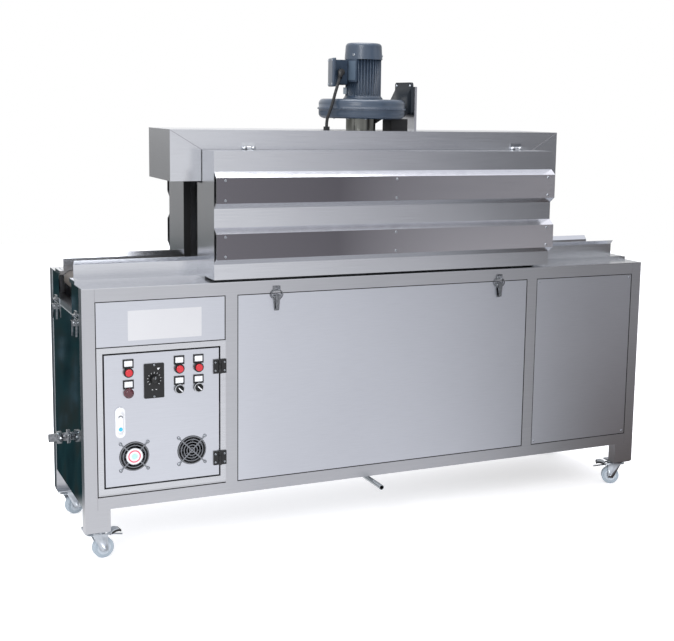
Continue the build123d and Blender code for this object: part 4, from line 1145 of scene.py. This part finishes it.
@dataclass
class BaseTrim:
    """Bare plate, weld lines, foot strip, black strips of painted shade in the panel gaps, and screws on the base and
    the hood.
    """

    plate_size: tuple = (225.0 * MM, 90.0 * MM)
    plate_place: tuple = (-730.0 * MM, 716.0 * MM)
    plate_thickness: float = 0.6 * MM
    seam_width: float = 1.6 * MM
    seam_height: float = 0.35 * MM
    seam_drop: float = 1.0 * MM
    tube: float = 38.0 * MM
    lower_rail: float = 69.0 * MM
    foot_strip_thickness: float = 1.0 * MM
    panel_slot: float = 3.0 * MM
    # Thickness of the black strips that paint the shade in the panel gaps.
    gap_shade_thickness: float = 0.3 * MM
    bays: tuple = ((-939.5 * MM, -541.5 * MM), (-503.5 * MM, 542.5 * MM), (580.5 * MM, 984.5 * MM))
    screwed_panel: float = 398.0 * MM
    screw_inset: tuple = (9.0 * MM, 10.0 * MM)
    mirror_offset: float = 45.0 * MM

    def sheets(self, rectangles: Iterable[Sequence[float]], thickness: float) -> Draft:
        """Thin rectangles that stand upright along X.

        Args:
            rectangles: Left, bottom, right, top and front of each.
            thickness: From front to back.

        Returns:
            Their draft.
        """
        draft = Draft()
        for left, bottom, right, top, near in rectangles:
            corners = [Vector((x, near, z)) for x, z in ((left, bottom), (right, bottom), (right, top), (left, top))]
            draft.slab(corners, -FORWARD * thickness)
        return draft

    def foot_strip(self) -> Draft:
        """Strip that closes the slot between the cabinet's foot and the lower rail.

        Returns:
            Its draft.
        """
        low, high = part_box("control_cabinet")
        near = low.y + self.foot_strip_thickness
        return self.sheets([(low.x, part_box("bay_panels")[0].z, high.x, low.z, near)], self.foot_strip_thickness)

    def panel_gap_painted_shade(self) -> Draft:
        """Black strips in the slots round the panels, front and rear: painted shade of the gaps.

        Returns:
            Their draft.
        """
        low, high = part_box("bay_panels")
        slot, thickness = self.panel_slot, self.gap_shade_thickness
        foot, top = low.z - slot, high.z + slot
        bottoms = (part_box("control_cabinet")[1].z, foot, foot)
        strips = []
        for near, rows in ((low.y + thickness, bottoms), (high.y - 2 * thickness, (foot,) * 3)):
            for (left, right), bottom in zip(self.bays, rows):
                strips += [
                    (left, bottom, left + slot, top, near), (right - slot, bottom, right, top, near),
                    (left + slot, top - slot, right - slot, top, near),
                    (left + slot, bottom, right - slot, bottom + slot, near),
                ]
        return self.sheets(strips, thickness)

    def seams(self) -> Draft:
        """Mitre lines at the hood's front and rear, and the joints of the front frame's corners.

        Returns:
            Their draft.
        """
        low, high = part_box("hood")
        door_low, door_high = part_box("tunnel_door")
        lines = []
        for y, out in ((low.y, FORWARD), (high.y, -FORWARD)):
            for outer, inner in ((low.x, door_low.x), (high.x, door_high.x)):
                lines.append((Vector((outer, y, high.z - self.seam_drop)), Vector((inner, y, door_high.z)), out))
        low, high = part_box("front_frame")
        for x in (low.x + self.tube, high.x - self.tube):
            for bottom in (high.z - self.tube, low.z + self.lower_rail):
                lines.append((Vector((x, low.y, bottom)), Vector((x, low.y, bottom + self.tube)), FORWARD))
        draft = Draft()
        for start, end, out in lines:
            side = (end - start).cross(out).normalized() * (self.seam_width / 2)
            draft.slab((start - side, end - side, end + side, start + side), out * self.seam_height)
        return draft

    def screws(self, heads: ScrewHeads) -> None:
        """Note the screws of the right panels and the cabinet's hinge leaves.

        Args:
            heads: The fixed body's screws.
        """
        low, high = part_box("bay_panels")
        across, rise = self.screw_inset
        for x in (high.x - self.screwed_panel + across, high.x - across):
            for z in (low.z + rise, high.z - rise):
                heads.put((x, low.y, z), TOWARDS_FRONT, Head.PANEL)
                heads.put((self.mirror_offset - x, high.y, z), TOWARDS_REAR, Head.PANEL)
        heads.put_on_leaves("cabinet_hinges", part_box("cabinet_hinges")[1].x - heads.leaf_inset,
                            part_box("front_frame")[0].y)

    def build(self, wardrobe: Wardrobe, fixed: ScrewHeads) -> None:
        """Make and dress the pieces.

        Args:
            wardrobe: The finishes.
            fixed: Screws of the fixed body.
        """
        seat = Vector((self.plate_place[0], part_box("bay_panels")[0].y, self.plate_place[1]))
        plate = Draft().plate(seat, rounded_outline(*self.plate_size, 2.0 * MM), self.plate_thickness)
        for name, draft, finish in (
            ("bare_plate", plate, "satin_aluminium_plate"), ("weld_seams", self.seams(), "weld_line"),
            ("cabinet_foot_strip", self.foot_strip(), "ground_stainless_tube"),
            # Black strips in the panel gaps: painted shade.
            ("panel_gap_painted_shade", self.panel_gap_painted_shade(), "black_rubber_and_painted_shade"),
        ):
            wardrobe.make(name, draft, finish, "base", "stainless")
        self.screws(fixed)


@dataclass
class Blower:
    """Finishes and small pieces of the exhaust blower on the hood."""

    axis: tuple = (22.5 * MM, 26.0 * MM)
    motor_low: float = 1406.0 * MM
    cowl_low: float = 1525.0 * MM
    horn_start: float = 178.0 * MM
    back_plate: float = 9.0 * MM
    pad_azimuth: float = math.radians(206)
    pad_seat: tuple = (61.5 * MM, -37.0 * MM)
    pad_size: tuple = (34.0 * MM, 62.0 * MM)
    pad_thickness: float = 0.6 * MM
    block_azimuth: float = math.radians(162)
    block_seat: tuple = (58.0 * MM, 4.0 * MM)
    block_size: tuple = (17.0 * MM, 20.0 * MM)
    block_height: float = 22.0 * MM
    gusset_way: tuple = (0.9026, -0.4305, 0.0)
    gusset_start: float = 49.5 * MM
    gusset_legs: tuple = (25.0 * MM, 17.0 * MM)
    gusset_thickness: float = 5.0 * MM
    seam_bolts: tuple = (9, 75.0, 25.0)
    seam_radius: float = 132.0 * MM
    cowl_screws: tuple = (214.5, 334.5, 94.5)
    cowl_seat: tuple = (62.6 * MM, 13.5 * MM)
    box_azimuth: float = math.radians(167)
    box_seat: tuple = (113.0 * MM, 75.0 * MM)
    box_screws: tuple = (36.0 * MM, 39.0 * MM)
    flange_bolts: tuple = (38.0 * MM, 142.0 * MM)
    flange_inset: tuple = (8.0 * MM, 12.0 * MM)

    def around(self, azimuth: float, distance: float, height: float) -> Vector:
        """Point at a distance from the motor's axis."""
        return Vector((*self.axis, height)) + compass(azimuth)[0] * distance

    def bare_pad(self) -> Draft:
        """Thin blank plate on the motor's flat pad.

        Returns:
            Its draft.
        """
        out, side = compass(self.pad_azimuth)
        centre = self.around(self.pad_azimuth, self.pad_seat[0], self.cowl_low + self.pad_seat[1])
        outline = rounded_outline(*self.pad_size, 2.0 * MM)
        return Draft().slab([centre + side * u + UP * v for u, v in outline], out * self.pad_thickness)

    def earth_block(self) -> Draft:
        """Small pale block at the motor's foot, under the terminal box.

        Returns:
            Its draft.
        """
        out, side = compass(self.block_azimuth)
        centre = self.around(self.block_azimuth, self.block_seat[0], self.motor_low + self.block_seat[1])
        outline = rounded_outline(*self.block_size, 3.0 * MM)
        return Draft().slab([centre + out * u + side * v for u, v in outline], UP * self.block_height)

    def gusset(self) -> Draft:
        """Dark triangular bracket under the scroll, right of the duct.

        Returns:
            Its draft.
        """
        way = Vector(self.gusset_way)
        across = Vector((-way.y, way.x, 0.0)) * self.gusset_thickness
        start = middle("blower_duct") + way * self.gusset_start - across / 2
        start.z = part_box("blower_duct")[1].z
        level, drop = self.gusset_legs
        return Draft().slab((start, start + way * level, start - UP * drop), across)

    def screws(self, heads: ScrewHeads) -> None:
        """Note the bolts of the scroll's seam, the cowl, the terminal box and the outlet flange.

        Args:
            heads: The fixed body's screws.
        """
        low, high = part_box("blower_volute")
        count, first, step = self.seam_bolts
        for number in range(count):
            heads.put(self.around(math.radians(first + number * step), self.seam_radius, low.z), DOWNWARD, Head.CASING)
        distance, rise = self.cowl_seat
        for degrees in self.cowl_screws:
            azimuth = math.radians(degrees)
            heads.put(self.around(azimuth, distance, self.cowl_low + rise), (0.0, math.pi / 2, azimuth), Head.WALL)
        side = compass(self.box_azimuth)[1]
        centre = self.around(self.box_azimuth, self.box_seat[0], self.motor_low + self.box_seat[1])
        across, rise = self.box_screws
        for u in (-across, across):
            for v in (-rise, rise):
                heads.put(centre + side * u + UP * v, (0.0, math.pi / 2, self.box_azimuth), Head.CASING)
        across, drop = self.flange_inset
        for y in self.flange_bolts:
            heads.put((high.x - across, y, high.z - drop), TOWARDS_LEFT, Head.FLANGE)

    def build(self, wardrobe: Wardrobe, fixed: ScrewHeads) -> None:
        """Make and dress the pieces.

        Args:
            wardrobe: The finishes.
            fixed: Screws of the fixed body.
        """
        plate_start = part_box("blower_supports")[1].x - self.back_plate
        for node, border, halves in (
            ("blower_volute", self.horn_start, (
                ("scroll_casing", "blue_grey_enamel", "enamel", False),
                ("outlet_horn", "dark_blue_enamel", "enamel", True))),
            ("blower_supports", plate_start, (
                ("outlet_back_plate", "brushed_stainless_upright", "stainless", True),
                # Rest block: its black finish is painted shade, standing in for the shade and dark reflection under
                # the scroll.
                ("scroll_rest_block_painted_shade", "black_rubber_and_painted_shade", "enamel", False))),
        ):
            for name, finish, slot, beyond in halves:
                wardrobe.skin(node, name, finish, slot,
                              lambda face: (face.calc_center_median().x > border) == beyond)
        for name, draft, finish in (
            ("motor_blank_plate", self.bare_pad(), "pale_grey_plate"),
            ("motor_earth_block", self.earth_block(), "grey_tyre"),
            ("scroll_gusset", self.gusset(), "black_rubber_and_painted_shade"),
        ):
            wardrobe.make(name, draft, finish, "base", "enamel")
        self.screws(fixed)


@dataclass
class CasterTrim:
    """Black pads on the casters' brake pedals and hub discs on their wheels, in millimetres."""

    kingpins: tuple = ((-939.5, -186.0), (984.5, -186.0), (-939.5, 238.0), (984.5, 238.0))
    yaws: tuple = (8.0, 150.0, 20.0, 160.0)
    pedal_root: float = 40.0
    pedal_start: float = 46.0
    pedal_reach: float = 75.5
    pedal_top: float = 85.0
    pedal_bow: float = 11.52
    pedal_tip: float = 4.8
    pedal_half: float = 15.6
    pad_lift: float = 0.6
    pad_wrap: float = 6.2
    pad_steps: int = 8
    trail: float = 22.0
    wheel_radius: float = 31.5
    wheel_half: float = 12.0
    hub_profile: tuple = ((21.0, 0.0), (20.0, 0.9), (12.0, 0.9), (10.5, 0.2), (7.0, 0.2))

    def pedal_profile(self) -> list:
        """Outline of the pad along and up: it wraps the pedal's upper side and its tip.

        Returns:
            Pairs of reach and height.
        """
        upper, lower = [], []
        for step in range(self.pad_steps + 1):
            reach = self.pedal_start + (self.pedal_reach - self.pedal_start) * step / self.pad_steps
            share = (reach - self.pedal_root) / (self.pedal_reach - self.pedal_root)
            height = self.pedal_top - self.pedal_bow * (1 - share) ** 2 - self.pedal_tip * share ** 4
            upper.append((reach, height + self.pad_lift))
            lower.append((reach, height - self.pad_wrap))
        return upper + lower[::-1]

    def pad(self, kingpin: Sequence[float], yaw: float) -> Draft:
        """Pad of one pedal.

        Args:
            kingpin: The kingpin's place.
            yaw: The way the fork trails, in radians.

        Returns:
            Its draft.
        """
        along, side = compass(yaw)
        start = Vector((*kingpin, 0.0)) - side * self.pedal_half
        outline = [(start + along * u + UP * v) * MM for u, v in self.pedal_profile()]
        return Draft().slab(outline, side * (2 * self.pedal_half * MM))

    def hub(self, kingpin: Sequence[float], yaw: float) -> Draft:
        """Hub discs on both sides of one wheel.

        Args:
            kingpin: The kingpin's place.
            yaw: The way the fork trails, in radians.

        Returns:
            Their draft.
        """
        draft = Draft()
        along, side = compass(yaw)
        axle = Vector((*kingpin, self.wheel_radius)) + along * self.trail
        profile = [(radius * MM, rise * MM) for radius, rise in self.hub_profile]
        for out in (-side, side):
            draft.turned((axle + out * self.wheel_half) * MM, out, along, profile, False)
        return draft

    def build(self, wardrobe: Wardrobe) -> None:
        """Make and dress the pieces.

        Args:
            wardrobe: The finishes.
        """
        for corner, kingpin, degrees in zip(CORNERS, self.kingpins, self.yaws):
            yaw = math.radians(degrees)
            wardrobe.make("brake_pad_" + corner, self.pad(kingpin, yaw), "black_plastic", "caster_" + corner,
                          "black_plastic")
            wardrobe.make("wheel_hubs_" + corner, self.hub(kingpin, yaw), "pale_hub_plastic", "roller_" + corner,
                          "wheel")


@dataclass
class Studio:
    """Floor, light and camera."""

    camera_place: tuple = (-1.6589, -3.6658, 1.3726)
    camera_turn_deg: tuple = (81.640, -1.065, -25.527)
    lens: float = 63.54
    shift: tuple = (-0.0707, -0.0587)
    lamp_aim: tuple = (0.0, 0.0, 0.7)
    lamp_list: tuple = (
        ("key", (-3.2, -3.6, 3.4), 2.4, 100.0), ("fill", (3.6, -3.0, 2.6), 2.4, 14.0),
        ("top", (0.0, 0.4, 4.6), 3.0, 110.0),
    )
    hall_strength: float = 1.15
    hall_front: tuple = (
        (0.0, "#FCFCFF"), (0.28, "#FCFCFF"), (0.42, "#AEAEB6"), (0.54, "#585A5E"), (0.64, "#444140"),
        (0.76, "#8C8C90"), (0.95, "#D8D8DC"),
    )
    floor_radius: float = 8.0
    floor_glow: float = 0.45
    floor_front: tuple = (
        (0.31, "#FCFCFF"), (0.37, "#E4E4E8"), (0.50, "#DEDEE2"), (0.60, "#C8C8CC"), (0.68, "#8E8E90"),
        (0.75, "#5A504D"), (0.82, "#5A504D"), (0.98, "#C8C8CC"),
    )
    floor_corner: tuple = (
        (0.30, "#121E24"), (0.48, "#213B40"), (0.58, "#2E3332"), (0.66, "#3A525E"), (0.76, "#7C8C96"),
    )
    patch_pitch: tuple = (160.0, 0.8)

    def camera(self) -> None:
        """Make the camera at the photograph's place."""
        data = bpy.data.cameras.new("camera")
        data.sensor_fit = "HORIZONTAL"
        data.sensor_width = 36.0
        data.lens = self.lens
        data.shift_x, data.shift_y = self.shift
        data.clip_end = 100.0
        eye = linked("camera", data)
        eye.location = self.camera_place
        eye.rotation_euler = [math.radians(angle) for angle in self.camera_turn_deg]
        bpy.context.scene.camera = eye

    def world(self) -> None:
        """White for the camera. For light and metal, a hall: bright above, darker at the right and low behind."""
        world = bpy.data.worlds.new("hall")
        bpy.context.scene.world = world
        world.use_nodes = True
        tree = world.node_tree
        tree.nodes.clear()
        x, y, z = axes(tree, "Generated")
        front = ramp(tree, x, self.hall_front)
        rear = calculate(tree, "MULTIPLY", remap(tree, z, -0.05, 0.12, 0.3, 1.0),
                         remap(tree, x, 0.2, 0.65, 1.0, 0.6, smooth=False))
        walls = tint(tree, remap(tree, y, -0.1, 0.25), front, rear)
        colour = tint(tree, remap(tree, z, 0.3, 0.8), walls, "#F6F7FF")
        hall = add_node(tree, "ShaderNodeBackground", {"Strength": self.hall_strength}, {"Color": colour})
        white = add_node(tree, "ShaderNodeBackground", {"Color": (1, 1, 1, 1), "Strength": 1.0})
        rays = add_node(tree, "ShaderNodeLightPath")
        mix = add_node(tree, "ShaderNodeMixShader",
                       links={0: rays.outputs["Is Camera Ray"], 1: hall.outputs[0], 2: white.outputs[0]})
        add_node(tree, "ShaderNodeOutputWorld", links={"Surface": mix.outputs[0]})

    def lamps(self) -> None:
        """Three soft lamps: key from the front left, fill from the right, and one above."""
        for name, place, size, watts in self.lamp_list:
            data = bpy.data.lights.new(name, "AREA")
            data.shape = "DISK"
            data.size = size
            data.energy = watts
            lamp = linked(name, data)
            lamp.location = place
            lamp.rotation_mode = "QUATERNION"
            lamp.rotation_quaternion = (Vector(self.lamp_aim) - Vector(place)).to_track_quat("-Z", "Y")

    def mirrored_floor(self, tree: Tree) -> bpy.types.Node:
        """What metal mirrors in the floor: pale in front, brown to the right, dark teal at the rear left.

        Args:
            tree: The floor material's tree.

        Returns:
            The emission node.
        """
        x, y, _ = axes(tree)

        def slope(offset_x: float, sign_x: float, offset_y: float, sign_y: float) -> Socket:
            """Work out the way from a point on the floor, as sideways over lengthways distance.

            Args:
                offset_x: The point's distance from the origin along X, with its sign turned by sign_x.
                sign_x: 1 or -1, which turns X.
                offset_y: The same along Y.
                sign_y: The same for Y.

            Returns:
                The quotient's socket.
            """
            return calculate(tree, "DIVIDE", calculate(tree, "MULTIPLY_ADD", x, sign_x, offset_x),
                             calculate(tree, "MULTIPLY_ADD", y, sign_y, offset_y))

        front = ramp(tree, slope(1.66, 1.0, 3.22, -1.0), self.floor_front)
        wide, deep = self.patch_pitch
        spot = add_node(tree, "ShaderNodeCombineXYZ", links={
            "X": calculate(tree, "MULTIPLY", slope(-0.30, -1.0, 3.67, 1.0), wide),
            "Y": calculate(tree, "MULTIPLY", y, deep)})
        patches = add_node(tree, "ShaderNodeTexNoise", {"Scale": 1.0, "Detail": 3.0}, {"Vector": spot.outputs[0]})
        dark = ramp(tree, patches.outputs["Fac"], self.floor_corner)
        rear = remap(tree, y, 0.2, 0.45)
        corner = calculate(tree, "MULTIPLY", remap(tree, x, -0.82, -0.98), rear)
        colour = tint(tree, corner, tint(tree, rear, front, "#C4C5C9"), dark)
        return add_node(tree, "ShaderNodeEmission", {"Strength": self.hall_strength}, {"Color": colour})

    def floor(self) -> None:
        """A pale round floor that keeps the machine's shadow."""
        shape = bmesh.new()
        bmesh.ops.create_circle(shape, cap_ends=True, radius=self.floor_radius, segments=96)
        mesh = bpy.data.meshes.new("floor")
        shape.to_mesh(mesh)
        shape.free()
        piece = linked("floor", mesh)
        material, tree, shader = new_material("studio_floor")
        rays = add_node(tree, "ShaderNodeLightPath").outputs
        shader.inputs["Base Color"].default_value = linear("#F2F2F2")
        shader.inputs["Roughness"].default_value = 0.9
        shader.inputs["Emission Color"].default_value = (1, 1, 1, 1)
        tree.links.new(calculate(tree, "MULTIPLY", rays["Is Camera Ray"], self.floor_glow),
                       shader.inputs["Emission Strength"])
        output = next(node for node in tree.nodes if node.type == "OUTPUT_MATERIAL")
        choice = add_node(tree, "ShaderNodeMixShader", links={
            0: rays["Is Glossy Ray"], 1: shader.outputs[0], 2: self.mirrored_floor(tree).outputs[0]})
        tree.links.new(choice.outputs[0], output.inputs["Surface"])
        mesh.materials.append(material)

    def build(self) -> None:
        """Set the view transform and make everything around the machine."""
        bpy.context.scene.view_settings.view_transform = "Standard"
        self.camera()
        self.world()
        self.lamps()
        self.floor()


def main() -> None:
    """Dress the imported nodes, add the small pieces, then light and frame the machine."""
    logging.basicConfig(level=logging.INFO)
    Studio().build()
    wardrobe = Wardrobe(build_finishes())
    MotorCable().build(wardrobe)
    for finish, nodes in NODE_FINISH.items():
        for node in nodes:
            wardrobe.dress(node, finish)
    for finish, slot, nodes in SOFT_NODES:
        for node in nodes:
            wardrobe.skin(node, node + "_skin", finish, slot)
    fixed = ScrewHeads("base")
    ControlPanel().build(wardrobe)
    for trim in (TunnelWalls(), BaseTrim(), Blower()):
        trim.build(wardrobe, fixed)
    CasterTrim().build(wardrobe)
    fixed.build(wardrobe)


if __name__ == "__main__":
    main()
